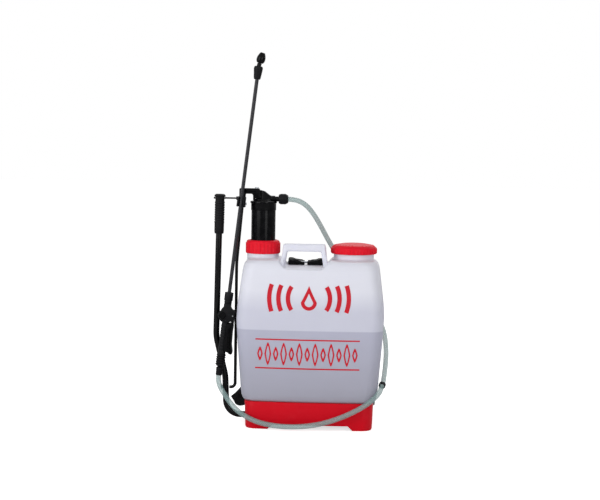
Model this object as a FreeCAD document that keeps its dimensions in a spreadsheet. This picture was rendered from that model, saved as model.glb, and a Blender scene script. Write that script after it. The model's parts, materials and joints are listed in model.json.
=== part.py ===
import FreeCAD, Part
import math
import os
import Sketcher

# Knapsack sprayer, about 16 litres: a translucent tank on a moulded base, a hand
# pump worked by a side lever, and a hose to a trigger gun with a lance.
# Millimetres. X to the right as seen from the front, Y towards the wearer's back,
# Z up. The origin is on the floor under the middle of the tank.

doc = FreeCAD.newDocument("knapsack_sprayer")
V = FreeCAD.Vector

# ---------------------------------------------------------------- driving sizes
SIZES = [
    # base
    ("body_mid", -2.5), ("base_half_wide", 162.5), ("base_half_deep", 79),
    ("base_corner", 28), ("base_tall", 69), ("base_bulge", 5), ("base_skin", 3.5),
    ("arch_mid", 2.7), ("arch_foot_half", 108.3), ("arch_tall", 12), ("arch_reach", 40),
    # tank
    ("tank_bottom", 69), ("tank_top", 428), ("tank_skin", 3),
    ("recess_floor", 405.5), ("recess_left", -66), ("recess_right", 27.5),
    ("recess_slope", 19),
    ("handle_left", -72.7), ("handle_right", 33.3), ("handle_top", 467.5),
    ("handle_splay", 7.3), ("handle_bar", 19), ("handle_leg", 10.6),
    ("handle_front", -58), ("handle_deep", 26),
    # necks
    ("pump_x", -128), ("pump_neck_dia", 81), ("pump_neck_bore", 73), ("pump_neck_top", 444),
    ("fill_x", 103.5), ("fill_neck_dia", 102), ("fill_neck_bore", 92), ("fill_neck_top", 444),
    # pump
    ("collar_dia", 87), ("collar_low", 439), ("collar_top", 472.5), ("collar_hole_dia", 65.5),
    ("cyl_dia", 71), ("cyl_bore", 65), ("cyl_low", 92), ("cyl_flange_dia", 78),
    ("chamber_dia", 61.5), ("chamber_wall", 2.5), ("chamber_low", 182), ("chamber_top", 566),
    ("head_skirt_dia", 64), ("head_skirt_deep", 18), ("head_flange_dia", 68),
    ("head_flange_tall", 5), ("outlet_dia", 13), ("outlet_z", 576.8),
    ("outlet_end", -70.5), ("nut_dia", 26), ("nut_low_x", -89.5), ("nut_high_x", -65.7),
    # arm and bracket
    ("arm_top", 603), ("arm_low", 589), ("arm_half_deep", 9), ("column_left", -154.7),
    ("column_right", -137.7), ("bracket_left", -189.7), ("bracket_right", -174.4),
    ("bracket_low", 554),
    # lever and rod
    ("pivot_z", 22), ("lever_tube_dia", 16), ("lever_x", -239.6), ("lever_top", 583),
    ("lever_knee_x", -245.2), ("lever_knee_z", 222), ("lever_low_x", -220.5),
    ("lever_low_z", 122), ("lever_foot_x", -216.5), ("lever_shaft_end", -62),
    ("lever_bend", 36), ("grip_dia", 25.4), ("grip_low", 486), ("grip_top", 587),
    ("rod_dia", 8), ("rod_x", -195), ("rod_top_x", -182), ("rod_top", 563),
    ("rod_knee_z", 412), ("rod_hook_z", 92), ("rod_bend", 11), ("rod_hook_end", -209.8),
    # lance
    ("lance_foot_x", -235), ("lance_y", -26), ("lance_foot_z", 125.6),
    ("lance_tube_dia", 9.4), ("lance_tube_end", 766), ("lance_lean", 6.67),
    # hose
    ("hose_dia", 13), ("hose_bore", 8.5),
]
D = dict(SIZES)


class Size:
    """A number together with the sheet expression that gives it."""

    def __init__(self, value, text):
        self.value = float(value)
        self.text = text

    def _mix(self, other, sign, flip=False):
        a, b = self, other if isinstance(other, Size) else Size(other, repr(other))
        if flip:
            a, b = b, a
        value = {"+": a.value + b.value, "-": a.value - b.value,
                 "*": a.value * b.value, "/": a.value / (b.value or 1.0)}[sign]
        return Size(value, "(%s %s %s)" % (a.text, sign, b.text))

    def __add__(self, other):
        return self._mix(other, "+")

    def __radd__(self, other):
        return self._mix(other, "+", True)

    def __sub__(self, other):
        return self._mix(other, "-")

    def __rsub__(self, other):
        return self._mix(other, "-", True)

    def __mul__(self, other):
        return self._mix(other, "*")

    def __rmul__(self, other):
        return self._mix(other, "*", True)

    def __truediv__(self, other):
        return self._mix(other, "/")

    def __neg__(self):
        return self._mix(-1, "*")


sheet = doc.addObject("Spreadsheet::Sheet", "Sizes")
for row, (alias, number) in enumerate(SIZES, 1):
    sheet.set("A%d" % row, alias)
    sheet.set("B%d" % row, str(number))
    sheet.setAlias("B%d" % row, alias)
doc.recompute()


def S(alias):
    return Size(D[alias], "Sizes." + alias)


def num(x):
    return x.value if isinstance(x, Size) else float(x)


def bind(obj, prop, size):
    """Set a property, and tie it to the sheet where the size comes from there."""
    if isinstance(size, Size):
        obj.setExpression(prop, size.text)
    elif "." not in prop:
        setattr(obj, prop, float(size))


def place(obj, x=0, y=0, z=0, turn=None):
    obj.Placement = FreeCAD.Placement(V(num(x), num(y), num(z)), turn or FreeCAD.Rotation())
    for axis, size in zip("xyz", (x, y, z)):
        if isinstance(size, Size):
            obj.setExpression("Placement.Base." + axis, size.text)
    return obj


def origin_plane(body, role):
    return [f for f in body.Origin.OriginFeatures if f.Role == role][0]


# ---------------------------------------------------------------- sketch helpers
def hold_point(rules, geo, pos, x, y):
    """Rules that hold one sketch point at (x, y), each a number or a sheet size."""
    for kind, size, axis in (("DistanceX", x, -2), ("DistanceY", y, -1)):
        if not isinstance(size, Size) and abs(size) < 1e-9:
            rules.append((Sketcher.Constraint("PointOnObject", geo, pos, axis), None))
        else:
            rule = Sketcher.Constraint(kind, -1, 1, geo, pos, num(size))
            rules.append((rule, size))


def apply_rules(sk, rules):
    """Add all rules at once, from geometry that already meets them, then bind them."""
    start = len(sk.Constraints)
    sk.addConstraint([rule for rule, size in rules])
    for k, (rule, size) in enumerate(rules):
        if isinstance(size, Size):
            sk.setExpression("Constraints[%d]" % (start + k), size.text)


def draw_outline(sk, points):
    """A closed outline of straight lines, each corner held at its own place."""
    n = len(points)
    flat = [V(num(p[0]), num(p[1]), 0) for p in points]
    lines = [sk.addGeometry(Part.LineSegment(flat[i], flat[(i + 1) % n]), False)
             for i in range(n)]
    rules = []
    for i in range(n):
        rules.append((Sketcher.Constraint("Coincident", lines[i - 1], 2, lines[i], 1), None))
        hold_point(rules, lines[i], 1, points[i][0], points[i][1])
    apply_rules(sk, rules)


def round_corners(body, feature, points, corner_of):
    """Fillet the edges that stand on an outline's rounded corners, radius by radius.
    corner_of gives the outline's (x, y) that an edge belongs to, or None."""
    doc.recompute()
    for radius in sorted({num(p[2]) for p in points if len(p) > 2}, reverse=True):
        wanted = [p for p in points if len(p) > 2 and num(p[2]) == radius]
        names = []
        for k, edge in enumerate(feature.Shape.Edges, 1):
            at = corner_of(edge)
            if at is None:
                continue
            for p in wanted:
                if abs(at[0] - num(p[0])) < 0.01 and abs(at[1] - num(p[1])) < 0.01:
                    names.append("Edge%d" % k)
                    break
        fillet = body.newObject("PartDesign::Fillet", "%s_round" % body.Name)
        fillet.Base = (feature, names)
        bind(fillet, "Radius", wanted[0][2])
        doc.recompute()
        if "Invalid" in fillet.State or fillet.Shape.isNull():
            raise SystemExit("fillet of %s, radius %s" % (body.Name, radius))
        feature = fillet
    return feature


def draw_circle(sk, x, y, radius):
    g = sk.addGeometry(Part.Circle(V(num(x), num(y), 0), V(0, 0, 1), num(radius)), False)
    rules = [(Sketcher.Constraint("Radius", g, num(radius)), radius)]
    hold_point(rules, g, 3, x, y)
    apply_rules(sk, rules)


def new_sketch(body, name, role, at=0):
    """A sketch on one of the body's origin planes, moved along +X, +Y or +Z by at."""
    sk = body.newObject("Sketcher::SketchObject", name)
    sk.AttachmentSupport = [(origin_plane(body, role), "")]
    sk.MapMode = "FlatFace"
    side = -1 if role == "XZ_Plane" else 1
    sk.AttachmentOffset = FreeCAD.Placement(V(0, 0, side * num(at)), FreeCAD.Rotation())
    if isinstance(at, Size):
        sk.setExpression("AttachmentOffset.Base.z", (side * at).text)
    return sk


def revolved(name, outline, label=None):
    """A round piece: the outline is (radius, height), turned about Z."""
    body = doc.addObject("PartDesign::Body", name)
    sk = new_sketch(body, name + "_profile", "XZ_Plane")
    draw_outline(sk, outline)
    turn = body.newObject("PartDesign::Revolution", name + "_turn")
    turn.Profile = sk
    turn.ReferenceAxis = (sk, ["V_Axis"])
    turn.Angle = 360
    sk.Visibility = False
    body.Label = label or name

    def corner_of(edge):
        if edge.Curve.TypeId != "Part::GeomCircle":
            return None
        return edge.Curve.Radius, edge.Curve.Center.z

    round_corners(body, turn, outline, corner_of)
    return body


def prism(name, role, low, thick, outline, holes=(), label=None):
    """A flat piece: an outline on a plane, padded from low by thick along its axis.
    For XZ_Plane the outline is (x, z); for YZ_Plane (y, z); for XY_Plane (x, y)."""
    body = doc.addObject("PartDesign::Body", name)
    start = low + thick if role == "XZ_Plane" else low
    sk = new_sketch(body, name + "_profile", role, start)
    draw_outline(sk, outline)
    for hole in holes:
        draw_circle(sk, *hole)
    pad = body.newObject("PartDesign::Pad", name + "_pad")
    pad.Profile = sk
    bind(pad, "Length", thick)
    sk.Visibility = False
    body.Label = label or name
    axes = {"XY_Plane": (0, 1, 2), "XZ_Plane": (0, 2, 1), "YZ_Plane": (1, 2, 0)}[role]

    def corner_of(edge):
        if edge.Curve.TypeId != "Part::GeomLine":
            return None
        a, b = edge.Vertexes[0].Point, edge.Vertexes[-1].Point
        if abs(a[axes[0]] - b[axes[0]]) + abs(a[axes[1]] - b[axes[1]]) > 0.01:
            return None
        return a[axes[0]], a[axes[1]]

    round_corners(body, pad, outline, corner_of)
    return body


def cylinder(name, radius, height, x=0, y=0, z=0, turn=None):
    obj = doc.addObject("Part::Cylinder", name)
    bind(obj, "Radius", radius)
    bind(obj, "Height", height)
    return place(obj, x, y, z, turn)


def box(name, x0, y0, z0, dx, dy, dz):
    obj = doc.addObject("Part::Box", name)
    bind(obj, "Length", dx)
    bind(obj, "Width", dy)
    bind(obj, "Height", dz)
    return place(obj, x0, y0, z0)


def cut(name, base, tool):
    obj = doc.addObject("Part::Cut", name)
    obj.Base = base
    obj.Tool = tool
    obj.Label = name
    return obj


def fuse(name, parts):
    obj = doc.addObject("Part::MultiFuse", name)
    obj.Shapes = parts
    obj.Refine = True
    obj.Label = name
    return obj


def common(name, a, b):
    obj = doc.addObject("Part::Common", name)
    obj.Base = a
    obj.Tool = b
    obj.Label = name
    return obj


def route(points, bends=None, tell=None):
    """Straight runs joined by tangent arcs. bends gives each inner corner's radius;
    without it, each arc is as large as its two runs allow."""
    pts = [V(*p) for p in points]
    edges, last, radii = [], pts[0], []
    for i in range(1, len(pts) - 1):
        a, b = pts[i - 1] - pts[i], pts[i + 1] - pts[i]
        short = min(a.Length, b.Length)
        a.normalize()
        b.normalize()
        half = a.getAngle(b) / 2
        turn = math.pi / 2 - half
        radius = bends[i - 1] if bends else 0.45 * short / math.tan(turn)
        radii.append(radius)
        run = radius * math.tan(turn)
        mid = a + b
        mid.normalize()
        centre = pts[i] + mid * (radius / math.sin(half))
        start, end = pts[i] + a * run, pts[i] + b * run
        edges.append(Part.LineSegment(last, start).toShape())
        edges.append(Part.Arc(start, centre - mid * radius, end).toShape())
        last = end
    edges.append(Part.LineSegment(last, pts[-1]).toShape())
    wire = Part.Wire(edges)
    if tell:
        print(tell, "length %.0f" % wire.Length, "radii",
              " ".join("%.0f" % r for r in radii))
    return wire


def bent_bar(name, points, dia, bends=None, tell=None):
    """A round bar or hose swept along a route."""
    path = doc.addObject("Part::Feature", name + "_path")
    path.Shape = route(points, bends, tell)
    first = V(*points[1]) - V(*points[0])
    ring = doc.addObject("Part::Circle", name + "_section")
    bind(ring, "Radius", dia / 2)
    ring.Placement = FreeCAD.Placement(V(*points[0]), FreeCAD.Rotation(V(0, 0, 1), first))
    sweep = doc.addObject("Part::Sweep", name)
    sweep.Sections = [ring]
    sweep.Spine = (path, ["Edge%d" % (k + 1) for k in range(len(path.Shape.Edges))])
    sweep.Solid = True
    sweep.Frenet = False
    sweep.Label = name
    return sweep, path


TURN_X = FreeCAD.Rotation(V(0, 1, 0), 90)
pieces = []


def keep(*objects):
    pieces.extend(objects)
    return objects[0]


# ---------------------------------------------------------------- tank
def rounded_section(body, name, z, wide, deep, corner, bulge):
    """One level of the tank: straight sides, bowed front, hollowed back."""
    sk = new_sketch(body, name, "XY_Plane", z)
    mid = D["body_mid"]
    q = corner * (1 - math.sqrt(0.5))
    w, d, c = wide, deep, corner
    left, right = mid - w, mid + w
    shapes = [
        Part.Arc(V(left + c, -d, 0), V(mid, -d - bulge, 0), V(right - c, -d, 0)),
        Part.Arc(V(right - c, -d, 0), V(right - q, -d + q, 0), V(right, -d + c, 0)),
        Part.LineSegment(V(right, -d + c, 0), V(right, d - c, 0)),
        Part.Arc(V(right, d - c, 0), V(right - q, d - q, 0), V(right - c, d, 0)),
        Part.Arc(V(right - c, d, 0), V(mid, d - bulge, 0), V(left + c, d, 0)),
        Part.Arc(V(left + c, d, 0), V(left + q, d - q, 0), V(left, d - c, 0)),
        Part.LineSegment(V(left, d - c, 0), V(left, -d + c, 0)),
        Part.Arc(V(left, -d + c, 0), V(left + q, -d + q, 0), V(left + c, -d, 0)),
    ]
    for shape in shapes:
        sk.addGeometry(shape, False)
    return sk


# height, half width, half depth, corner radius, bow of the front and back
LEVELS = [
    (69, 161.5, 73, 30, 4), (74, 167.5, 77, 32, 4), (84, 171.5, 79.5, 34, 5),
    (104, 174, 81, 34, 6), (150, 177.5, 82.5, 34, 7), (210, 182.3, 83.5, 34, 7),
    (275, 186.3, 84.5, 34, 7), (310, 184.3, 84.5, 34, 7), (350, 179.3, 83.5, 34, 7),
    (385, 174.6, 81.5, 35, 6), (406, 171.8, 79, 36, 6), (418, 168, 75, 36, 5),
    (425, 161.5, 69, 36, 5), (428, 152, 61, 34, 4),
]


def tank_loft(name, inset):
    body = doc.addObject("PartDesign::Body", name)
    sections = []
    for k, (z, wide, deep, corner, bulge) in enumerate(LEVELS):
        if inset and k == 0:
            z = z + inset
        if inset and k == len(LEVELS) - 1:
            z = z - inset
        sections.append(rounded_section(body, "%s_level%02d" % (name, k), z, wide - inset,
                                        deep - inset, corner - inset, bulge))
    loft = body.newObject("PartDesign::AdditiveLoft", name + "_loft")
    loft.Profile = sections[0]
    loft.Sections = sections[1:]
    for sk in sections:
        sk.Visibility = False
    return body


outer = tank_loft("tank_outer", 0)
inner = tank_loft("tank_inner", D["tank_skin"])
recess_l, recess_r = S("recess_left"), S("recess_right")
recess = prism("recess", "XZ_Plane", -150, 300, [
    (recess_l, S("recess_floor"), 6), (recess_r, S("recess_floor"), 6),
    (recess_r + S("recess_slope") * 2, S("tank_top") + 20),
    (recess_l - S("recess_slope") * 2, S("tank_top") + 20)])
skin = S("tank_skin")
recess_under = prism("recess_under", "XZ_Plane", -150, 300, [
    (recess_l - skin, S("recess_floor") - skin, 6),
    (recess_r + skin, S("recess_floor") - skin, 6),
    (recess_r + skin + S("recess_slope") * 2, S("tank_top") + 20),
    (recess_l - skin - S("recess_slope") * 2, S("tank_top") + 20)])
neck_start = S("tank_top") - 14
pump_neck = cylinder("pump_neck", S("pump_neck_dia") / 2, S("pump_neck_top") - neck_start,
                     S("pump_x"), 0, neck_start)
fill_neck = cylinder("fill_neck", S("fill_neck_dia") / 2, S("fill_neck_top") - neck_start,
                     S("fill_x"), 0, neck_start)
hl, hr, ht = S("handle_left"), S("handle_right"), S("handle_top")
leg, splay, bar = S("handle_leg"), S("handle_splay"), S("handle_bar")
leg_low = S("recess_floor") - 3.5
handle = prism("handle", "XZ_Plane", S("handle_front"), S("handle_deep"), [
    (hl - splay, leg_low), (hl - splay + leg, leg_low), (hl + leg, ht - bar, 6),
    (hr - leg, ht - bar, 6), (hr + splay - leg, leg_low), (hr + splay, leg_low),
    (hr, ht, 8), (hl, ht, 8)])
gusset = [(-77, leg_low), (S("handle_front") + 2, leg_low),
          (S("handle_front") + 2, leg_low + 36), (-70, leg_low + 16)]
foot_left = prism("handle_foot_left", "YZ_Plane", hl - splay + 1.5, leg - 1.5, gusset)
foot_right = prism("handle_foot_right", "YZ_Plane", hr + splay - leg, leg - 1.5, gusset)
cavity = cut("tank_cavity", inner, recess_under)
shell_solid = cut("tank_block", outer, recess)
full = fuse("tank_full", [shell_solid, pump_neck, fill_neck, handle, foot_left, foot_right])
pump_bore = cylinder("pump_bore", S("pump_neck_bore") / 2, 60, S("pump_x"), 0, neck_start - 8)
fill_bore = cylinder("fill_bore", S("fill_neck_bore") / 2, 60, S("fill_x"), 0, neck_start - 8)
hollow = fuse("tank_hollow", [cavity, pump_bore, fill_bore])
tank = keep(cut("tank", full, hollow))

# ---------------------------------------------------------------- base
bw, bd, bc = S("base_half_wide"), S("base_half_deep"), S("base_corner")
bs = D["base_skin"]


def base_loft(name, inset, low, high):
    body = doc.addObject("PartDesign::Body", name)
    sections = []
    levels = ((low, 3.6), (low + 4, 1.9), (high, 0))
    for k, (z, draft) in enumerate(levels):
        less = inset + draft
        sections.append(rounded_section(
            body, "%s_level%d" % (name, k), z, D["base_half_wide"] - less,
            D["base_half_deep"] - less, D["base_corner"] - inset, D["base_bulge"]))
    loft = body.newObject("PartDesign::AdditiveLoft", name + "_loft")
    loft.Profile = sections[0]
    loft.Sections = sections[1:]
    loft.Ruled = True
    for sk in sections:
        sk.Visibility = False
    return body


block = base_loft("base_block", 0, 0, D["base_tall"])
under = base_loft("base_under", bs, -1, D["base_tall"] - 4)
am, af = S("arch_mid"), S("arch_foot_half")
arch = prism("base_arch", "XZ_Plane", -120, S("arch_reach") + 120, [
    (am - af, -1), (am + af, -1), (am + af - 13, S("arch_tall"), 3),
    (am - af + 13, S("arch_tall"), 3)])
base_shell = cut("base_shell", block, under)
ribs = [
    box("base_rib_inner", -84, -77, 12, 5, 149, 54),
    box("base_rib_outer", -124, -77, 12, 5, 149, 54),
    box("base_rib_right", 60, -77, 12, 5, 149, 54),
]
base_full = fuse("base_full", [base_shell] + ribs)
shaft_hole = cylinder("base_shaft_hole", S("lever_tube_dia") / 2 + 0.3, 60, -130, 0,
                      S("pivot_z"), TURN_X)
base_left, base_right = S("body_mid") - bw, S("body_mid") + bw
bush_hole = cylinder("base_bush_hole", 12, 12, base_left - 4, 0, S("pivot_z"), TURN_X)
base_holes = fuse("base_holes", [arch, shaft_hole, bush_hole])
keep(cut("base", base_full, base_holes))

# A nylon bush in the side wall carries the lever shaft.
bush = revolved("lever_bush", [
    (S("lever_tube_dia") / 2 + 0.15, -2), (15, -2), (15, 0), (11.9, 0), (11.9, 8),
    (S("lever_tube_dia") / 2 + 0.15, 8)])
keep(place(bush, base_left + 0.9, 0, S("pivot_z"), TURN_X))


# ---------------------------------------------------------------- pump in the tank
def ribbed(name, body, radius, low, high, count, wide, out):
    """Grip ribs round a turned piece: one rib, patterned about Z."""
    sk = new_sketch(body, name + "_rib", "XY_Plane", low)
    draw_outline(sk, [(radius - 2, -wide / 2), (radius + out, -wide / 4),
                      (radius + out, wide / 4), (radius - 2, wide / 2)])
    pad = body.newObject("PartDesign::Pad", name + "_rib_pad")
    pad.Profile = sk
    bind(pad, "Length", high - low)
    doc.recompute()
    pattern = body.newObject("PartDesign::PolarPattern", name + "_ribs")
    pattern.Originals = [pad]
    pattern.Axis = (origin_plane(body, "Z_Axis"), [""])
    pattern.Angle = 360
    pattern.Occurrences = count
    sk.Visibility = False
    body.Tip = pattern
    return body


px = S("pump_x")
cr, cl, ct = S("collar_dia") / 2, S("collar_low"), S("collar_top")
collar = revolved("pump_collar", [
    (S("pump_neck_dia") / 2 + 0.4, cl), (cr, cl, 1), (cr - 1.2, ct, 6.5),
    (S("collar_hole_dia") / 2, ct), (S("collar_hole_dia") / 2, ct - 5),
    (S("pump_neck_dia") / 2 + 0.4, ct - 5)])
ribbed("pump_collar", collar, cr - 0.4, cl + 2.5, ct - 7, 30, 5, 1.1)
keep(place(collar, px, 0, 0))

gasket_low = S("pump_neck_top")
keep(place(revolved("neck_gasket", [
    (36, gasket_low), (39, gasket_low), (39, gasket_low + 2), (36, gasket_low + 2)]), px, 0, 0))

cy = S("cyl_dia") / 2
flange_low = gasket_low + 2
cylinder_body = revolved("pump_cylinder", [
    (S("cyl_bore") / 2, S("cyl_low") + 6), (S("cyl_bore") / 2, flange_low + 5),
    (S("cyl_flange_dia") / 2, flange_low + 5), (S("cyl_flange_dia") / 2, flange_low),
    (cy, flange_low), (cy, S("cyl_low") + 8, 3), (cy - 10, S("cyl_low"), 3),
    (9, S("cyl_low")), (9, S("cyl_low") + 6)])
keep(place(cylinder_body, px, 0, 0))

guide = revolved("guide_bush", [
    (S("chamber_dia") / 2 + 0.25, flange_low - 26), (S("cyl_bore") / 2, flange_low - 26),
    (S("cyl_bore") / 2, flange_low + 5), (38.5, flange_low + 5), (38.5, ct - 5),
    (S("chamber_dia") / 2 + 0.25, ct - 5)])
keep(place(guide, px, 0, 0))

# Intake cage under the cylinder, with the inlet valve's ball above its seat.
cage = revolved("intake_cage", [
    (3, S("cyl_low") - 12), (20, S("cyl_low") - 12, 2), (20, S("cyl_low")), (8.9, S("cyl_low")),
    (8.9, S("cyl_low") + 5), (4, S("cyl_low") + 5), (4, S("cyl_low") - 2), (17, S("cyl_low") - 2),
    (17, S("cyl_low") - 9), (3, S("cyl_low") - 9)])
slot_sk = new_sketch(cage, "intake_slot_profile", "XY_Plane", S("cyl_low") - 8)
draw_outline(slot_sk, [(14, -1.6), (22, -1.6), (22, 1.6), (14, 1.6)])
slot = cage.newObject("PartDesign::Pocket", "intake_slot")
slot.Profile = slot_sk
slot.Length = 5
slot.Reversed = True
doc.recompute()
slots = cage.newObject("PartDesign::PolarPattern", "intake_slots")
slots.Originals = [slot]
slots.Axis = (origin_plane(cage, "Z_Axis"), [""])
slots.Angle = 360
slots.Occurrences = 10
cage.Tip = slots
keep(place(cage, px, 0, 0))

ball = doc.addObject("Part::Sphere", "inlet_ball")
ball.Radius = 6
ball.Label = "inlet_ball"
keep(place(ball, px, 0, S("cyl_low") + 9.8))

# ---------------------------------------------------------------- air chamber and head
ch, cw = S("chamber_dia") / 2, S("chamber_wall")
clow, ctop = S("chamber_low"), S("chamber_top")
keep(place(revolved("air_chamber", [
    (6, clow), (ch - 2, clow), (ch - 2, clow + 8), (ch, clow + 8), (ch, ctop), (ch - cw, ctop),
    (ch - cw, clow + 11), (6, clow + 11)]), px, 0, 0))
keep(place(revolved("piston_cup", [
    (ch - 2, clow + 2), (S("cyl_bore") / 2 - 0.1, clow), (S("cyl_bore") / 2 - 0.1, clow + 3),
    (ch + 0.2, clow + 8), (ch - 2, clow + 8)]), px, 0, 0))
keep(place(revolved("delivery_tube", [
    (3, clow + 14), (4.5, clow + 14), (4.5, ctop), (3, ctop)]), px, 0, 0))

hf = S("head_flange_dia") / 2
ftop = ctop + S("head_flange_tall")
head_round = revolved("head_round", [
    (0, ctop), (ch + 0.1, ctop), (ch + 0.1, ctop - S("head_skirt_deep")),
    (S("head_skirt_dia") / 2, ctop - S("head_skirt_deep"), 1), (S("head_skirt_dia") / 2, ctop),
    (hf, ctop, 1), (hf, ftop, 1.5), (24, ftop + 2), (21, ftop + 6, 2), (0, ftop + 6)])
place(head_round, px, 0, 0)
elbow = prism("head_elbow", "XZ_Plane", -7.5, 15, [
    (-132.5, ftop + 2), (-131, 588), (-131.5, 596.6, 2), (-126, 596.6, 2), (-112, 586, 6),
    (-103, 583, 3), (-103, ftop + 2)])
outlet = cylinder("head_outlet", S("outlet_dia") / 2, 24, S("outlet_end") - 24, 0,
                  S("outlet_z"), TURN_X)
head_step = cylinder("head_step", 8.5, 9, -108, 0, S("outlet_z"), TURN_X)
keep(fuse("pump_head", [head_round, elbow, outlet, head_step]))

nut_x0, nut_x1 = S("nut_low_x"), S("nut_high_x")
nut = revolved("outlet_nut", [
    (S("outlet_dia") / 2 + 0.1, 0), (11, 0), (S("nut_dia") / 2, 4), (S("nut_dia") / 2, 18),
    (9.5, nut_x1 - nut_x0), (S("hose_dia") / 2 + 0.1, nut_x1 - nut_x0),
    (S("hose_dia") / 2 + 0.1, 18), (S("outlet_dia") / 2 + 0.1, 15)])
ribbed("outlet_nut", nut, S("nut_dia") / 2 - 0.6, 4.5, 17.5, 12, 3.4, 1.0)
keep(place(nut, nut_x0, 0, S("outlet_z"), TURN_X))

# ---------------------------------------------------------------- arm and bracket
at, al, ad = S("arm_top"), S("arm_low"), S("arm_half_deep")
arm = prism("arm_plate", "XZ_Plane", -ad, ad * 2, [
    (S("bracket_left"), at, 3), (S("column_right"), at, 4), (S("column_right"), 590),
    (-134, 582), (-134, ftop + 2.3), (S("column_left"), ftop + 2.3),
    (S("column_left"), al, 5), (S("bracket_right"), al, 4),
    (S("bracket_right"), S("bracket_low"), 2), (S("bracket_left"), S("bracket_low"), 2)])
rod_z = S("rod_top")
pin_r = 2.5
rod_hole = cylinder("arm_rod_hole", pin_r + 0.05, 30, S("bracket_left") - 5, 0, rod_z, TURN_X)
fork_x0 = S("bracket_left") + 2.4
fork_wide = S("bracket_right") - S("bracket_left") - 4.7
fork = box("arm_fork", fork_x0, -10, S("bracket_low") - 2, fork_wide, 20, 20)
dome_clear = cylinder("arm_dome_clear", 24.3, 6.3, px, 0, ftop)
bolt_hole = cylinder("arm_bolt_hole", 2.85, 6, -146, 0, at - 3.1)
arm_cuts = fuse("arm_cuts", [rod_hole, fork, dome_clear, bolt_hole])
keep(cut("pump_arm", arm, arm_cuts))
arm_bolt = revolved("arm_bolt", [
    (0, 0), (2.8, 0), (2.8, 3), (4.6, 3), (4.6, 6), (0, 6)])
keep(place(arm_bolt, -146, 0, at - 3))

# The lever's grip rests in a loop on the bracket, open towards the wearer.
lx = S("lever_x")
loop_in, loop_out = S("grip_dia") / 2 + 0.6, S("grip_dia") / 2 + 3
cradle = prism("lever_cradle", "XY_Plane", 575, 4, [
    (S("bracket_left") - 0.2, -2), (S("bracket_left") - 0.2, 2), (lx + loop_out, 2),
    (lx + loop_out, 7), (lx + loop_in, 7), (lx + loop_in, -13, 12.5),
    (lx - loop_in, -13, 12.5), (lx - loop_in, 7), (lx - loop_out, 7),
    (lx - loop_out, -15.6, 13.5), (lx + loop_out, -15.6, 13.5), (lx + loop_out, -2)])
knob = cylinder("cradle_knob", 4.6, 8, S("bracket_left") - 8.2, 0, 577, TURN_X)
keep(fuse("lever_cradle_loop", [cradle, knob]))

# ---------------------------------------------------------------- rod and lever
rod, rod_path = bent_bar("connecting_rod_bar", [
    (D["rod_top_x"], 0, D["rod_top"]), (D["rod_x"], 0, D["rod_knee_z"]),
    (D["rod_x"], 0, D["rod_hook_z"]), (D["rod_hook_end"], 0, D["rod_hook_z"])],
    S("rod_dia"), [300, D["rod_bend"]])
eye = cylinder("rod_eye", 6, fork_wide - 0.8, fork_x0 + 0.4, 0, rod_z, TURN_X)
eye_hole = cylinder("rod_eye_hole", pin_r + 0.1, 30, S("bracket_left") - 5, 0, rod_z, TURN_X)
keep(cut("connecting_rod", fuse("rod_and_eye", [rod, eye]), eye_hole))
pin_long = S("bracket_right") - S("bracket_left") + 2.6
keep(place(revolved("rod_clip", [
    (0, -1.8), (4.6, -1.8), (4.6, -0.2), (pin_r, -0.2), (pin_r, pin_long - 1), (3.6, pin_long - 1),
    (3.6, pin_long), (0, pin_long)]), S("bracket_left"), 0, rod_z, TURN_X))

lever, lever_path = bent_bar("lever_bar", [
    (D["lever_x"], 0, D["lever_top"]), (D["lever_knee_x"], 0, D["lever_knee_z"]),
    (D["lever_low_x"], 0, D["lever_low_z"]), (D["lever_foot_x"], 0, D["pivot_z"]),
    (D["lever_shaft_end"], 0, D["pivot_z"])], S("lever_tube_dia"), [110, 90, D["lever_bend"]])
keep(lever)
lever.Label = "lever_tube"
gr, gl, gt = S("grip_dia") / 2, S("grip_low"), S("grip_top")
grip_line = [(S("lever_tube_dia") / 2 + 0.1, gl), (gr - 1.5, gl, 1), (gr - 0.5, gl + 6),
             (gr - 0.5, gl + 26)]
step = 6.2
for k in range(9):
    z = gl + 27 + k * step
    grip_line += [(gr, z + 1), (gr, z + 4), (gr - 1.1, z + step)]
grip_line += [(gr - 1.1, gt - 7.5), (gr + 1.4, gt - 7), (gr + 1.4, gt - 3), (gr - 2, gt, 2),
              (0, gt), (0, S("lever_top") + 0.2),
              (S("lever_tube_dia") / 2 + 0.1, S("lever_top") + 0.2)]
grip = keep(revolved("lever_grip", grip_line))
lever_lean = math.degrees(math.atan2(D["lever_x"] - D["lever_knee_x"],
                                     D["lever_top"] - D["lever_knee_z"]))
grip.Placement = FreeCAD.Placement(V(D["lever_x"], 0, 0),
                                   FreeCAD.Rotation(V(0, 1, 0), lever_lean),
                                   V(0, 0, D["lever_top"]))
keep(place(revolved("shaft_clip", [
    (S("lever_tube_dia") / 2 + 0.05, 0), (12, 0), (12, 2), (S("lever_tube_dia") / 2 + 0.05, 2)]),
    -78.7, 0, S("pivot_z"), TURN_X))
along = (S("rod_hook_z") - S("pivot_z")) / (S("lever_low_z") - S("pivot_z"))
hook_x = S("lever_foot_x") + (S("lever_low_x") - S("lever_foot_x")) * along
keep(place(revolved("hook_clip", [
    (0, 0), (6.5, 0), (6.5, 1.2), (4, 3.5), (0, 3.5)]),
    hook_x - S("lever_tube_dia") / 2 - 3.95, 0, S("rod_hook_z"), TURN_X))

# ---------------------------------------------------------------- gun and lance
# These pieces are made upright on the lance's own axis, then leant together.
LEAN = FreeCAD.Rotation(V(0, 1, 0), D["lance_lean"])


def on_lance(obj):
    return keep(place(obj, S("lance_foot_x"), S("lance_y"), S("lance_foot_z"), LEAN))


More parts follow.
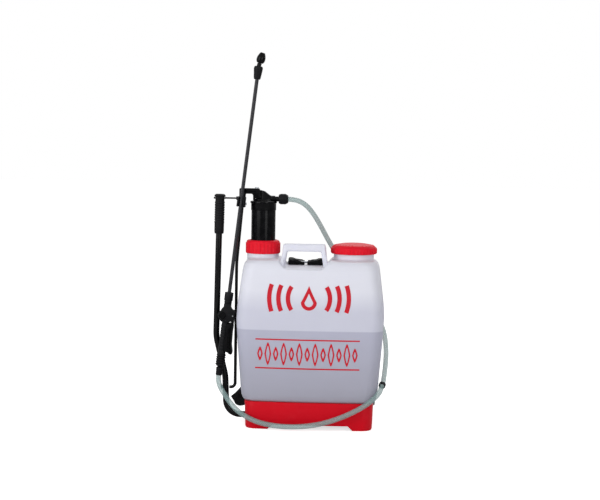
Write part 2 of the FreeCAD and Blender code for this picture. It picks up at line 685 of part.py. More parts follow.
tube_r = S("lance_tube_dia") / 2
ribs_line = [(0, 24), (9, 24, 1), (10.5, 27)]
for k in range(5):
    z = 27 + k * 6
    ribs_line += [(12, z + 1), (12, z + 3.4), (9.8, z + 5)]
ribs_line += [(10, 58)]
for k in range(9):
    z = 58 + k * 8.4
    ribs_line += [(9.8, z + 1.4), (9.8, z + 5.4), (9, z + 8.4)]
ribs_line += [(9, 142), (0, 142)]
grip_round = revolved("gun_grip_round", ribs_line)
valve = prism("gun_valve", "XZ_Plane", -12, 24, [
    (-9.5, 139), (8, 139), (12, 141, 2), (21.5, 144, 5), (21.5, 168, 5), (13, 172, 3),
    (9, 177, 3), (8.5, 186), (-8.5, 186), (-9, 177, 3), (-14, 171, 3), (-14, 142, 3)])
boss = cylinder("gun_boss", 11.5, 25.5, -10, 12, 155, FreeCAD.Rotation(V(1, 0, 0), 90))
slot_box = box("gun_trigger_slot", 11.2, -4.4, 136, 12, 8.8, 29)
valve_slotted = cut("gun_valve_slotted", valve, slot_box)
gun_block = fuse("gun_block", [grip_round, valve_slotted, boss])
pin_hole = cylinder("gun_pin_hole", 1.6, 30, 17, 15, 157, FreeCAD.Rotation(V(1, 0, 0), 90))
on_lance(cut("gun_body", gun_block, pin_hole))
pin = cylinder("trigger_pin", 1.55, 25)
pin.Label = "trigger_pin"
turn_pin = LEAN.multiply(FreeCAD.Rotation(V(1, 0, 0), 90))
foot = V(D["lance_foot_x"], D["lance_y"], D["lance_foot_z"])
pin_at = foot + LEAN.multVec(V(17, 12.5, 157))
pin.Placement = FreeCAD.Placement(pin_at, turn_pin)
keep(pin)
cap_round = revolved("valve_cap", [
    (0, 0), (9.5, 0), (9.5, 2), (8, 4, 1), (4, 4), (4, 3), (0, 3)])
cap_round.Placement = FreeCAD.Placement(
    foot + LEAN.multVec(V(-10, -13.5, 155)), LEAN.multiply(FreeCAD.Rotation(V(1, 0, 0), 90)))
keep(cap_round)
gun_nut = revolved("gun_nut", [
    (tube_r + 0.05, 186.2), (9.4, 186.2, 1), (9.8, 190), (7.6, 210), (6.4, 213),
    (tube_r + 0.05, 213)])
ribbed("gun_nut", gun_nut, 8.0, 190, 206, 10, 2.8, 1.2)
on_lance(gun_nut)
lance_tube = revolved("lance_tube", [
    (tube_r - 1.2, 186.4), (tube_r, 186.4), (tube_r, S("lance_tube_end")),
    (tube_r - 1.2, S("lance_tube_end"))])
on_lance(lance_tube)

# Trigger: a tongue on the pin, and below it a channel that straddles the grip.
tongue = prism("trigger_tongue", "XZ_Plane", -4, 8, [
    (13, 162.5, 2), (20, 162.5, 2), (21.5, 152, 4), (21.4, 128), (15.4, 128),
    (14.6, 140)], [(17, 157, 1.7)])
channel = prism("trigger_channel", "XZ_Plane", -12.2, 24.4, [
    (14.5, 133, 3), (21.4, 133, 2), (21.6, 110), (23.2, 82), (27, 66, 2), (27, 58, 2),
    (19.2, 59, 1), (15.4, 64, 3), (11.6, 84), (10.4, 112)])
hollow = prism("trigger_hollow", "XZ_Plane", -10.3, 20.6, [
    (5, 129.6), (19.4, 129.6), (19.6, 110), (21, 82), (24, 68), (24, 61.4), (5, 61.4)])
channel_open = cut("trigger_channel_open", channel, hollow)
on_lance(fuse("trigger", [tongue, channel_open]))

# Hose nut at the gun's foot.
nut_top = foot + LEAN.multVec(V(0, 0, 23.2))
hose_nut = revolved("hose_nut", [
    (0, 0), (3, 0), (8.6, -2.5), (8.6, -9), (8.1, -9.6), (8.1, -22, 1), (S("hose_dia") / 2 + 0.1, -23),
    (S("hose_dia") / 2 + 0.1, -18), (0, -18)])
hose_nut.Placement = FreeCAD.Placement(nut_top, LEAN)
keep(hose_nut)

# Nozzle holder and turning nozzle cap.
on_lance(revolved("nozzle_nut", [
    (tube_r + 0.05, 757), (8, 757, 1), (8.4, 763), (8.4, 775), (11, 778), (11, 783, 1),
    (8, 786), (tube_r + 0.05, 786)]))
NOZ = FreeCAD.Rotation(V(0, 1, 0), 16.7)
noz_at = foot + LEAN.multVec(V(0, 0, 789))
stem = revolved("nozzle_stem", [
    (0, -2.5), (4.1, -2.5), (5.5, 0), (5.5, 9), (3.4, 9), (3.4, 14), (0, 14)])
stem.Placement = FreeCAD.Placement(noz_at, NOZ)
keep(stem)
cap_line = [
    (3.6, 9.4), (7.5, 9.4), (10.5, 14), (11.2, 19, 3), (10.6, 25, 3), (8, 32), (5.5, 36.4),
    (1.2, 36.4), (1.2, 16), (3.6, 16)]
nozzle_cap = revolved("nozzle_cap", cap_line)
nozzle_cap.Placement = FreeCAD.Placement(noz_at, NOZ)
keep(nozzle_cap)

# The lance lies in a clip on the bracket: jaws open to the front.
jaw = tube_r + 0.4
clip = prism("lance_clip", "XY_Plane", 434, 25, [
    (-10.5, 17), (-10.5, -3), (-8, -8), (-5.8, -8), (-jaw, -5.5), (-jaw, 5.2, 4.5),
    (jaw, 5.2, 4.5), (jaw, -5.5), (5.8, -8), (8, -8), (10.5, -3), (10.5, 17)])
on_lance(clip)

# ---------------------------------------------------------------- filler
fx = S("fill_x")
neck_r, seat = S("fill_neck_dia") / 2, S("fill_neck_top")
lid_low, roof, lid_r = seat - 1.8, seat + 5.2, neck_r + 7
lid = revolved("filler_cap", [
    (neck_r + 0.6, lid_low), (lid_r - 0.5, lid_low, 1.5), (lid_r, lid_low + 15, 4),
    (50, lid_low + 22), (30, lid_low + 25.5), (0, lid_low + 26.8), (0, roof + 16.6),
    (30, roof + 15.4), (43, roof + 11), (44, roof), (neck_r + 0.6, roof)])
ribbed("filler_cap", lid, lid_r - 1, lid_low + 2.5, lid_low + 13.5, 44, 4.6, 1.9)
keep(place(lid, fx, 0, 0))
keep(place(revolved("filler_seal", [
    (45, seat + 2.7), (neck_r, seat + 2.7), (neck_r, seat + 5), (45, seat + 5)]), fx, 0, 0))
strainer = revolved("filler_strainer", [
    (50.5, seat + 0.4), (50.5, seat + 2.4), (44.5, seat + 2.4), (42.3, seat - 65.5),
    (0, seat - 65.5), (0, seat - 67.5), (44.3, seat - 67.5), (45.7, seat + 0.4)])
hole_sk = new_sketch(strainer, "strainer_hole", "XY_Plane", seat - 60)
draw_outline(hole_sk, [(38, -5), (48, -5), (48, 5), (38, 5)])
hole = strainer.newObject("PartDesign::Pocket", "strainer_window")
hole.Profile = hole_sk
hole.Length = 46
hole.Reversed = True
doc.recompute()
holes = strainer.newObject("PartDesign::PolarPattern", "strainer_windows")
holes.Originals = [hole]
holes.Axis = (origin_plane(strainer, "Z_Axis"), [""])
holes.Angle = 360
holes.Occurrences = 12
strainer.Tip = holes
keep(place(strainer, fx, 0, 0))
keep(place(revolved("vent_valve", [
    (0, -4), (5, -4), (5, 0), (0, 0)]), fx, 0, roof + 16.1))

# ---------------------------------------------------------------- straps
bar_y, bar_z = 58, S("recess_floor") + 6.5
keep(cylinder("strap_bar", 3, recess_r - recess_l + 5.2, recess_l - 2.6, bar_y, bar_z, TURN_X))
doc.getObject("strap_bar").Label = "strap_bar"
loop_low, loop_top = S("recess_floor") + 0.5, S("recess_floor") + 15.5
for side, x0, wide in (("left", -62.5, 37), ("right", -17.5, 40)):
    loop = prism("loop_" + side, "YZ_Plane", x0, wide, [
        (47, loop_low, 6), (47, loop_top, 6), (88.6, loop_top, 6), (88.6, loop_low, 4)],
        [(bar_y, bar_z, 3.3)])
    loop.Label = "strap_loop_" + side
    keep(loop)
keep(prism("shoulder_pad_left", "XZ_Plane", 89, 9, [
    (-62.5, loop_top, 4), (-25.5, loop_top, 4), (-27, 390, 60), (-58, 330, 120), (-92, 230, 200),
    (-108, 140, 8), (-154, 140, 8), (-138, 240, 200), (-100, 345, 120), (-66, 395, 60)]))
keep(prism("shoulder_pad_right", "XZ_Plane", 89, 9, [
    (-17.5, loop_top, 4), (22.5, loop_top, 4), (25, 390, 60), (56, 345, 120), (94, 240, 200),
    (112, 140, 8), (66, 140, 8), (48, 230, 200), (12, 330, 120), (-16, 390, 60)]))
keep(prism("strap_web_left", "XZ_Plane", 91, 4, [
    (-118, 139.7), (-144, 139.7), (-163, 100, 30), (-190, 68, 20), (-209.4, 57, 2),
    (-209.4, 34, 3), (-201, 24, 3), (-187, 35, 8), (-160, 50, 12), (-130, 96, 30)]))
keep(prism("strap_web_right", "XZ_Plane", 91, 4, [
    (76, 139.7), (102, 139.7), (124, 108, 30), (156, 78, 10), (163, 66, 4), (163, 50, 3),
    (148, 50, 4), (140, 66, 10), (92, 100, 30)]))
for side, s, edge, out in (("left", -1, base_left, 5.6), ("right", 1, base_right, 3.4)):
    hook = prism("strap_hook_" + side, "XY_Plane", 51, 14, [
        (edge + 0.2 * s, 12), (edge + 0.2 * s, 50), (edge + 1.4 * s, 60),
        (edge + 1.4 * s, 90.6), (edge + out * s, 90.6, 1), (edge + out * s, 16, 1.5)])
    keep(hook)

# ---------------------------------------------------------------- hose
UPPER = [
    (-70.5, 0, 576.8), (-48, 0, 576.8), (-24, 6, 566), (-5, 17, 545), (14, 41, 512),
    (33, 72, 472), (53, 95, 436), (78, 107, 398), (106, 109, 356), (137, 109, 313),
    (165, 103, 272), (184, 82, 234), (190.5, 46, 192), (189.5, 10, 157), (186.6, -18, 132),
    (184.4, -33.8, 118.3), (182.5, -42, 113)]
LOWER = [
    (182.5, -42, 113), (180.6, -50.2, 107.7), (175.5, -70, 96), (154, -92, 77), (122, -100, 57),
    (78, -103, 36), (25, -103.5, 18.5), (-30, -103, 11.5), (-84, -100, 12), (-134, -92, 20.5),
    (-175, -74, 38), (-199.5, -54.5, 57), (-215.5, -40.5, 76), (-229, -30.3, 93),
    (-234.6, -26.6, 107)]
for back in (-28.3, -18.3):
    LOWER.append(tuple(nut_top + LEAN.multVec(V(0, 0, back))))
for name, points in (("hose_upper", UPPER), ("hose_lower", LOWER)):
    hose, hose_path = bent_bar(name, points, S("hose_dia"), None, name)
    keep(hose)
hose_dir = V(*LOWER[1]) - V(*UPPER[-2])
clip_ring = revolved("hose_clip", [
    (S("hose_dia") / 2 + 0.2, -4), (S("hose_dia") / 2 + 2.2, -4), (S("hose_dia") / 2 + 2.2, 4),
    (S("hose_dia") / 2 + 0.2, 4)])
clip_ring.Placement = FreeCAD.Placement(V(*LOWER[0]), FreeCAD.Rotation(V(0, 0, 1), hose_dir))
keep(clip_ring)

doc.recompute()

# ---------------------------------------------------------------- checks and export
bad = []
for obj in doc.Objects:
    if "Invalid" in obj.State or "Error" in obj.State:
        bad.append(obj.Name)
for obj in pieces:
    if obj.Shape.isNull() or not obj.Shape.isValid():
        bad.append(obj.Label)
if bad:
    raise SystemExit("failed objects: " + ", ".join(bad))
for name in ("hose_upper", "hose_lower", "connecting_rod_bar", "lever_bar"):
    sweep = doc.getObject(name)
    path = doc.getObject(name + "_path")
    area = math.pi * num(doc.getObject(name + "_section").Radius) ** 2
    print(name, "volume %.0f, section by length %.0f" % (sweep.Shape.Volume,
                                                         area * path.Shape.Length))
os.makedirs("parts", exist_ok=True)
total = 0
for obj in pieces:
    solids = obj.Shape.Solids
    if len(solids) != 1:
        print("WARNING", obj.Label, "has", len(solids), "solids")
    total += sum(s.Volume for s in solids)
    obj.Shape.exportStep("parts/" + obj.Label + ".step")
print(len(pieces), "pieces, volume of all %.0f cm3" % (total / 1000))
print("tank holds about %.1f litres" % (doc.getObject("tank_cavity").Shape.Volume / 1e6))
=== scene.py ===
"""Knapsack sprayer: its finished surfaces and soft parts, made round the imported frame."""
import json
import math

import bmesh
import bpy
from mathutils import Matrix, Vector


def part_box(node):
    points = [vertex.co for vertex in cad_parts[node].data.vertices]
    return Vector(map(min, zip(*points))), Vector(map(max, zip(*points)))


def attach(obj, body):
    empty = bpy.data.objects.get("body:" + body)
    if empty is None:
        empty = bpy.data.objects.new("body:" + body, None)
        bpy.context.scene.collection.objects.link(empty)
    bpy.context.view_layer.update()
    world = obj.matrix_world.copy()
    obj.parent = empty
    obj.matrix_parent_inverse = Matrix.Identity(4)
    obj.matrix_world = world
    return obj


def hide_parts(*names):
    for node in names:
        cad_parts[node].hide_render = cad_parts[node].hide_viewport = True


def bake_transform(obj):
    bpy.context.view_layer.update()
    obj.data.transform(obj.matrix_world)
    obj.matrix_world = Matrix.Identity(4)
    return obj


bl_info = {
    "name": "Knapsack Sprayer",
    "version": (1, 0, 0),
    "blender": (4, 5, 0),
    "location": "View3D > Sidebar > Sprayer",
    "description": "Dresses a knapsack sprayer: tank, caps, pump, lance, hose and straps",
    "category": "Object",
}

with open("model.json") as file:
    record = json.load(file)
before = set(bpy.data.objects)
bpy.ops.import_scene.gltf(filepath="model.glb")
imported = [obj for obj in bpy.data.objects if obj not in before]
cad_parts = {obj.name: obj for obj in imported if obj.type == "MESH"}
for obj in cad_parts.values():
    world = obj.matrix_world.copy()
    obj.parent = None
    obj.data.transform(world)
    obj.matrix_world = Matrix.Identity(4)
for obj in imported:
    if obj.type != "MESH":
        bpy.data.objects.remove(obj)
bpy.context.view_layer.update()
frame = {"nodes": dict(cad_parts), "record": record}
MM = 0.001
# the lance's axis: where it stands, and how far it leans
LANCE_FOOT = Vector((-235, -26, 125.6)) * MM
LANCE_LEAN = Matrix.Rotation(math.radians(6.67), 3, "Y")
WHITE = (1, 1, 1, 1)


def linear(text):
    """A colour written as rrggbb, as the shader wants it."""
    parts = [int(text[k:k + 2], 16) / 255 for k in (0, 2, 4)]
    return tuple(c / 12.92 if c <= 0.04045 else ((c + 0.055) / 1.055) ** 2.4 for c in parts) + (1,)


# ------------------------------------------------------------------ settings
def dimension(name, description, default, low, high):
    """A size for the panel, given in millimetres."""
    return bpy.props.FloatProperty(name=name, description=description, default=default * MM,
                                   min=low * MM, max=high * MM, unit="LENGTH")


def colour(name, text, description):
    return bpy.props.FloatVectorProperty(name=name, description=description,
                                         default=linear(text), size=4, min=0, max=1,
                                         subtype="COLOR")


class SprayerSizes(bpy.types.PropertyGroup):
    liquid_level: dimension(
        "Liquid level", "Height of the liquid that shows through the tank", 252.5, 90, 400)
    tank_wall: dimension("Tank wall", "Wall of the blow-moulded tank", 3, 1, 8)
    tank_voxel: dimension(
        "Tank softness", "Step of the mesh that rounds the tank's corners", 2.8, 2, 8)
    hose_diameter: dimension("Hose diameter", "Outer diameter of the hose", 13, 6, 25)
    print_thickness: dimension(
        "Print thickness", "How far the printed film stands off the tank", 0.35, 0.1, 1)
    web_thickness: dimension(
        "Webbing thickness", "Thickness of the flat strap webbing", 2.4, 1, 5)
    pad_pressure: bpy.props.FloatProperty(
        name="Pad fullness", description="Air pressure that rounds the shoulder pads",
        default=4.0, min=0.0, max=12.0)


class SprayerColours(bpy.types.PropertyGroup):
    # painted light: the tank's top is written lighter than its middle, for light that falls from
    # above
    tank_top_painted_light: colour("Tank top", "dedfea", "Natural polyethylene near the tank's top")
    tank_middle: colour("Tank middle", "cacbda", "The tank from the liquid to its shoulders")
    tank_wet: colour("Tank wet", "b3b4c6", "The tank just under the liquid's level")
    # painted shade: the tank's bottom is written darker than the liquid's tint just under its
    # level
    tank_bottom_painted_shade: colour("Tank bottom", "a3a3b0", "The tank at its bottom, over the base")
    red_caps: colour("Red caps", "e0142a", "Screw caps")
    red_base: colour("Red base", "cc0a1e", "Base under the tank")
    red_print: colour("Red print", "c41a2b", "Print on the tank")
    black_plastic: colour("Black plastic", "050507", "Glossy moulded black")
    black_matt: colour("Black matt", "0e0e11", "Matt moulded black")
    black_paint: colour("Black paint", "060607", "Powder coat of the lever and rod")
    grey_tube: colour("Grey tube", "28282c", "Coated tube of the lance")
    zinc: colour("Zinc", "a8abb0", "Plated steel")
    hose: colour("Hose", "84a09f", "Braided hose")
    webbing: colour("Webbing", "0c0c0e", "Straps and pads")
    nylon: colour("Nylon", "dedccf", "Natural nylon")
    rubber: colour("Rubber", "141414", "Seals")


def sizes():
    return bpy.context.scene.sprayer_sizes


def colours():
    return bpy.context.scene.sprayer_colours


# ------------------------------------------------------------------ shader nodes
class Tree:
    """Short makers of the nodes and links in one tree."""
    def __init__(self, tree):
        self.tree = tree

    def fill(self, node, inputs):
        """Give each input its constant, or join it to another node's output."""
        for key, value in inputs.items():
            if isinstance(value, bpy.types.NodeSocket):
                self.tree.links.new(value, node.inputs[key])
            else:
                node.inputs[key].default_value = value
        return node

    def add(self, kind, inputs=None, **settings):
        node = self.tree.nodes.new("ShaderNode" + kind)
        for key, value in settings.items():
            setattr(node, key, value)
        return self.fill(node, inputs or {})

    def maths(self, operation, *values, clamp=False):
        node = self.add("Math", dict(enumerate(values)), operation=operation, use_clamp=clamp)
        return node.outputs[0]

    def place(self, kind):
        return self.add("TexCoord").outputs[kind]

    def split(self, vector):
        return self.add("SeparateXYZ", {0: vector}).outputs

    def noise(self, place, scale, detail):
        return self.add("TexNoise", {"Vector": place, "Scale": scale,
                                     "Detail": detail}).outputs["Fac"]

    def between(self, value, low, high):
        """0 where the value is at low or under it, and 1 at high or over it."""
        return self.add("MapRange", {"Value": value, "From Min": low,
                                     "From Max": high}).outputs[0]

    def scaled(self, colour, factor):
        return self.add("VectorMath", {0: colour, "Scale": factor}, operation="SCALE").outputs[0]

    def mixed(self, factor, under, over):
        """One colour laid over another; a colour mix node has its colours at 6 and 7."""
        return self.add("Mix", {"Factor": factor, 6: under, 7: over}, data_type="RGBA").outputs[2]

    def bump(self, height, strength, distance):
        return self.add("Bump", {"Height": height, "Strength": strength,
                                 "Distance": distance}).outputs[0]

    def group(self, name, inputs):
        """One of the shader groups, made at its first use."""
        made = bpy.data.node_groups.get(name) or GROUPS[name](name)
        return self.add("Group", inputs, node_tree=made).outputs


def empty_tree(owner):
    """The tree of a new material or world, with nothing in it."""
    owner.use_nodes = True
    owner.node_tree.nodes.clear()
    return Tree(owner.node_tree)


def shader_group(name, inputs, outputs):
    """A new group with its sockets: a tree to fill, its inputs, and its end node.
    An input is a number, a colour, or None for a vector."""
    made = bpy.data.node_groups.new(name, "ShaderNodeTree")

    def socket(label, direction, kind):
        return made.interface.new_socket(name=label, in_out=direction,
                                         socket_type="NodeSocket" + kind)

    for label, value in inputs.items():
        if value is None:
            socket(label, "INPUT", "Vector")
        else:
            kind = "Float" if isinstance(value, float) else "Color"
            socket(label, "INPUT", kind).default_value = value
    for label, kind in outputs.items():
        socket(label, "OUTPUT", kind)
    inside, outside = made.nodes.new("NodeGroupInput"), made.nodes.new("NodeGroupOutput")
    return made, Tree(made), inside.outputs, outside


def grain(name):
    """Moulded surface: fine grain, slow waviness, and small changes of colour and gloss."""
    made, tree, given, out = shader_group(
        name, {"Colour": (0.5, 0.5, 0.5, 1), "Grain size": 900.0, "Roughness": 0.4,
               "Roughness change": 0.08, "Colour change": 0.06},
        {"Colour": "Color", "Roughness": "Float", "Height": "Float"})
    where = tree.place("Object")
    fine = tree.noise(where, given["Grain size"], 2)
    drift = tree.maths("SUBTRACT", tree.noise(where, 18, 3), 0.5)
    shade = tree.maths("MULTIPLY", drift, given["Colour change"])
    shade = tree.maths("ADD", tree.maths("MULTIPLY", shade, 2.0), 1.0)
    rough = tree.maths("MULTIPLY", drift, given["Roughness change"])
    rough = tree.maths("ADD", tree.maths("MULTIPLY", rough, 2.0), given["Roughness"], clamp=True)
    tree.fill(out, {"Colour": tree.scaled(given["Colour"], shade), "Roughness": rough,
                    "Height": fine})
    return made


def wear(name):
    """Edge wear: where edges stand out, broken up by noise, one colour shows through."""
    made, tree, given, out = shader_group(
        name, {"Colour": (0.5, 0.5, 0.5, 1), "Worn colour": (0.6, 0.6, 0.6, 1), "Amount": 0.3},
        {"Colour": "Color"})
    edge = tree.between(tree.add("NewGeometry").outputs["Pointiness"], 0.53, 0.62)
    spots = tree.between(tree.noise(tree.place("Object"), 70, 4), 0.45, 0.65)
    mask = tree.maths("MULTIPLY", tree.maths("MULTIPLY", edge, spots), given["Amount"], clamp=True)
    tree.fill(out, {"Colour": tree.mixed(mask, given["Colour"], given["Worn colour"])})
    return made


def weave(name):
    """Woven cloth: ribs across and ticks along a place given in metres, with a little fuzz."""
    made, tree, given, out = shader_group(
        name, {"Colour": (0.02, 0.02, 0.02, 1), "Place": None, "Across": 3200.0, "Along": 2100.0},
        {"Colour": "Color", "Height": "Float"})
    waves = [tree.maths("SINE", tree.maths("MULTIPLY", part, given[key]))
             for part, key in zip(tree.split(given["Place"]), ("Across", "Along"))]
    height = tree.maths("ADD", tree.maths("MULTIPLY", tree.maths("MULTIPLY", *waves), 0.5), 0.5)
    fuzz = tree.maths("MULTIPLY", tree.noise(given["Place"], 60, 4), 0.5)
    shade = tree.maths("ADD", tree.maths("MULTIPLY", height, 0.8), 0.35)
    shade = tree.maths("ADD", shade, fuzz)
    tree.fill(out, {"Colour": tree.scaled(given["Colour"], shade), "Height": height})
    return made


GROUPS = {"Moulded Grain": grain, "Edge Wear": wear, "Webbing Weave": weave}


# ------------------------------------------------------------------ materials
# material: colour, roughness, size and depth of its grain, shine, change of its colour,
# then, where its edges are worn, their colour and how much they are worn
MOULDED = {
    "red_caps_moulding": ("red_caps", 0.5, 700, 0.00002, 0.12, 0.06, "f06a70", 0.3),
    "red_base_moulding": ("red_base", 0.42, 700, 0.00003, 0.1, 0.06, "dd4450", 0.3),
    "print_ink": ("red_print", 0.45, 2200, 0.00003, 0.2, 0.12),
    "black_gloss": ("black_plastic", 0.13, 900, 0.000004, 0.1, 0.06, "232326", 0.3),
    "black_matt": ("black_matt", 0.5, 1400, 0.00004, 0.12, 0.06, "2c2c30", 0.4),
    "black_powder_coat": ("black_paint", 0.18, 1600, 0.000006, 0.16, 0.06, "37373b", 0.3),
    "lance_coat": ("grey_tube", 0.24, 1500, 0.000008, 0.2, 0.06),
    "natural_nylon": ("nylon", 0.45, 900, 0.00003, 0.3, 0.06),
    "black_rubber": ("rubber", 0.65, 1200, 0.00003, 0.15, 0.06),
}
# cloth: what lays its weave, ribs across and ticks along, and the depth of the weave
CLOTHS = {
    "woven_webbing": ("UV", 3200.0, 2100.0, 0.0004),
    "pad_cloth": ("Object", 4200.0, 4200.0, 0.0002),
}


def new_material(name):
    """A material with one shader: the material, its tree and the shader."""
    material = bpy.data.materials.new(name)
    tree = empty_tree(material)
    shader = tree.add("BsdfPrincipled")
    tree.add("OutputMaterial", {"Surface": shader.outputs[0]})
    return material, tree, shader


def moulded(name):
    """Moulded or painted surface with grain, and wear on its edges where asked for."""
    material, tree, shader = new_material(name)
    shade, roughness, size, depth, shine, change, *worn = MOULDED[name]
    surface = tree.group("Moulded Grain", {
        "Colour": getattr(colours(), shade), "Grain size": size, "Roughness": roughness,
        "Colour change": change})
    seen = surface["Colour"]
    if worn:
        seen = tree.group("Edge Wear", {
            "Colour": seen, "Worn colour": linear(worn[0]), "Amount": worn[1]})["Colour"]
    tree.fill(shader, {"Base Color": seen, "Roughness": surface["Roughness"],
                       "Specular IOR Level": shine,
                       "Normal": tree.bump(surface["Height"], 0.35, depth)})
    return material


def plated(name):
    """Plated steel: metal with fine grain and a soft cloudiness."""
    material, tree, shader = new_material(name)
    surface = tree.group("Moulded Grain", {
        "Colour": colours().zinc, "Grain size": 260, "Roughness": 0.32, "Roughness change": 0.2,
        "Colour change": 0.12})
    tree.fill(shader, {"Base Color": surface["Colour"], "Roughness": surface["Roughness"],
                       "Metallic": 1, "Normal": tree.bump(surface["Height"], 0.2, 0.00002)})
    return material


def tank_plastic(name):
    """Natural polyethylene: pale, cloudy, and darker where the liquid stands behind it. Painted
    light makes it lighter towards the top, and painted shade darker towards the bottom.
    """
    material, tree, shader = new_material(name)
    low, high = (corner.z for corner in span("tank"))
    rise = tree.between(tree.split(tree.place("Object"))[2], low, high)
    ramp = tree.add("ValToRGB", {0: rise})
    level, shades = sizes().liquid_level, colours()
    # the step at the liquid's level is the liquid behind the wall; the rise to the lighter top is
    # painted light, and the fall to the darker bottom is painted shade
    stops = [(low, shades.tank_bottom_painted_shade), (level - 0.7 * MM, shades.tank_wet),
             (level + 0.7 * MM, shades.tank_middle), (level + 48 * MM, shades.tank_middle),
             (level + 100 * MM, shades.tank_top_painted_light)]
    marks = ramp.color_ramp.elements
    while len(marks) < len(stops):
        marks.new(1.0)
    for mark, (height, shade) in zip(marks, stops):
        mark.position = (height - low) / (high - low)
        mark.color = shade
    surface = tree.group("Moulded Grain", {
        "Colour": ramp.outputs[0], "Grain size": 260, "Roughness": 0.4, "Roughness change": 0.1,
        "Colour change": 0.02})
    tree.fill(shader, {"Base Color": surface["Colour"], "Roughness": surface["Roughness"],
                       "Subsurface Weight": 0.15, "Subsurface Radius": (0.02, 0.02, 0.024),
                       "Subsurface Scale": 0.3, "Specular IOR Level": 0.25,
                       "Normal": tree.bump(surface["Height"], 0.25, 0.00005)})
    return material


def hose_pvc(name):
    """Clear grey-green hose with a crossed braid inside its wall."""
    material, tree, shader = new_material(name)
    around, along, _ = tree.split(tree.place("UV"))
    threads, threads_per_metre = 8, 260
    lines = []
    for sign in (1, -1):
        phase = tree.maths("MULTIPLY", around, threads / (math.pi * sizes().hose_diameter))
        pitch = tree.maths("MULTIPLY", along, threads_per_metre * sign)
        turn = tree.maths("MULTIPLY", tree.maths("ADD", phase, pitch), 2 * math.pi)
        lines.append(tree.between(tree.maths("SINE", turn), 0.72, 0.95))
    braid = tree.maths("MAXIMUM", *lines)
    surface = tree.group("Moulded Grain", {
        "Colour": colours().hose, "Grain size": 500, "Roughness": 0.3, "Colour change": 0.05})
    thread = tree.maths("MULTIPLY", braid, 0.4)
    clear = tree.maths("ADD", tree.maths("MULTIPLY", braid, 0.3), 0.48)
    tree.fill(shader, {"Base Color": tree.mixed(thread, surface["Colour"], linear("bccbc8")),
                       "Roughness": surface["Roughness"], "Alpha": clear,
                       "Specular IOR Level": 0.3, "Normal": tree.bump(braid, 0.3, 0.0002)})
    return material


def woven(name):
    """Black woven polyester, its weave laid by the piece's map or by its place."""
    material, tree, shader = new_material(name)
    kind, across, along, depth = CLOTHS[name]
    place = tree.place(kind)
    if kind == "Object":
        x, y, z = tree.split(place)
        place = tree.add("CombineXYZ", {0: x, 1: tree.maths("ADD", y, z)}).outputs[0]
    cloth = tree.group("Webbing Weave", {
        "Colour": colours().webbing, "Across": across, "Along": along, "Place": place})
    tree.fill(shader, {"Base Color": cloth["Colour"], "Roughness": 0.8,
                       "Specular IOR Level": 0.15, "Sheen Weight": 0.08,
                       "Normal": tree.bump(cloth["Height"], 0.6, depth)})
    return material


MAKERS = {"plated_steel": plated, "natural_polyethylene": tank_plastic, "braided_pvc": hose_pvc,
          "woven_webbing": woven, "pad_cloth": woven}


def dress(obj, finish, slot):
    """One finish on one piece, made at its first use. The slot is not used."""
    material = bpy.data.materials.get(finish) or MAKERS.get(finish, moulded)(finish)
    obj.data.materials.clear()
    obj.data.materials.append(material)
    return obj


def stand_for(obj, *nodes):
    """The piece stands for construction nodes, and rides on their body."""
    bodies = frame["record"]["behaviour"]["bodies"]
    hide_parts(*nodes)
    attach(obj, next(body for body, members in bodies.items() if nodes[0] in members))
    return obj


# ------------------------------------------------------------------ modelling helpers
def new_object(name, data):
    obj = bpy.data.objects.new(name, data)
    bpy.context.scene.collection.objects.link(obj)
    return obj


def span(node):
    """Lowest and highest corner of a construction node."""
    low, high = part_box(node)
    return Vector(low), Vector(high)


def alone(obj):
    """Leave edit mode, and make the piece the only one that is selected."""
    if bpy.context.object and bpy.context.object.mode != "OBJECT":
        bpy.ops.object.mode_set(mode="OBJECT")
    bpy.ops.object.select_all(action="DESELECT")
    obj.select_set(True)
    bpy.context.view_layer.objects.active = obj
    return obj


def primitive(kind, name, **settings):
    """A new piece from one of the mesh primitives."""
    bpy.ops.object.select_all(action="DESELECT")
    getattr(bpy.ops.mesh, "primitive_%s_add" % kind)(**settings)
    obj = bpy.context.object
    obj.name = obj.data.name = name
    return obj


def settle(obj):
    """Put the piece's place into its mesh."""
    alone(obj)
    bpy.ops.object.transform_apply(location=True, rotation=True, scale=True)
    return obj


def modify(obj, kind, **settings):
    """Add one modifier and apply it."""
    alone(obj)
    modifier = obj.modifiers.new(kind.title(), kind)
    for key, value in settings.items():
        setattr(modifier, key, value)
    bpy.ops.object.modifier_apply(modifier=modifier.name)
    return obj


def rounded(obj, width, segments, angle):
    """Round the edges that are sharper than an angle, by a width in millimetres."""
    return modify(obj, "BEVEL", width=width * MM, segments=segments, limit_method="ANGLE",
                  angle_limit=math.radians(angle))


def remesh(obj, step):
    obj.data.remesh_voxel_size = step
    alone(obj)
    bpy.ops.object.voxel_remesh()


def smooth(obj, degrees):
    alone(obj)
    bpy.ops.object.shade_smooth_by_angle(angle=math.radians(degrees))
    return obj


def copy_of(node, name):
    """A new piece from a construction node, with its loose triangles joined up."""
    obj = alone(new_object(name, frame["nodes"][node].data.copy()))
    bpy.ops.object.mode_set(mode="EDIT")
    bpy.ops.mesh.select_all(action="SELECT")
    bpy.ops.mesh.remove_doubles(threshold=2e-6)
    bpy.ops.mesh.dissolve_limited(angle_limit=math.radians(0.1))
    bpy.ops.object.mode_set(mode="OBJECT")
    return obj


def circle(radius, sides):
    """Points of a circle round the origin."""
    return [(radius * math.cos(a), radius * math.sin(a))
            for a in (2 * math.pi * k / sides for k in range(sides))]


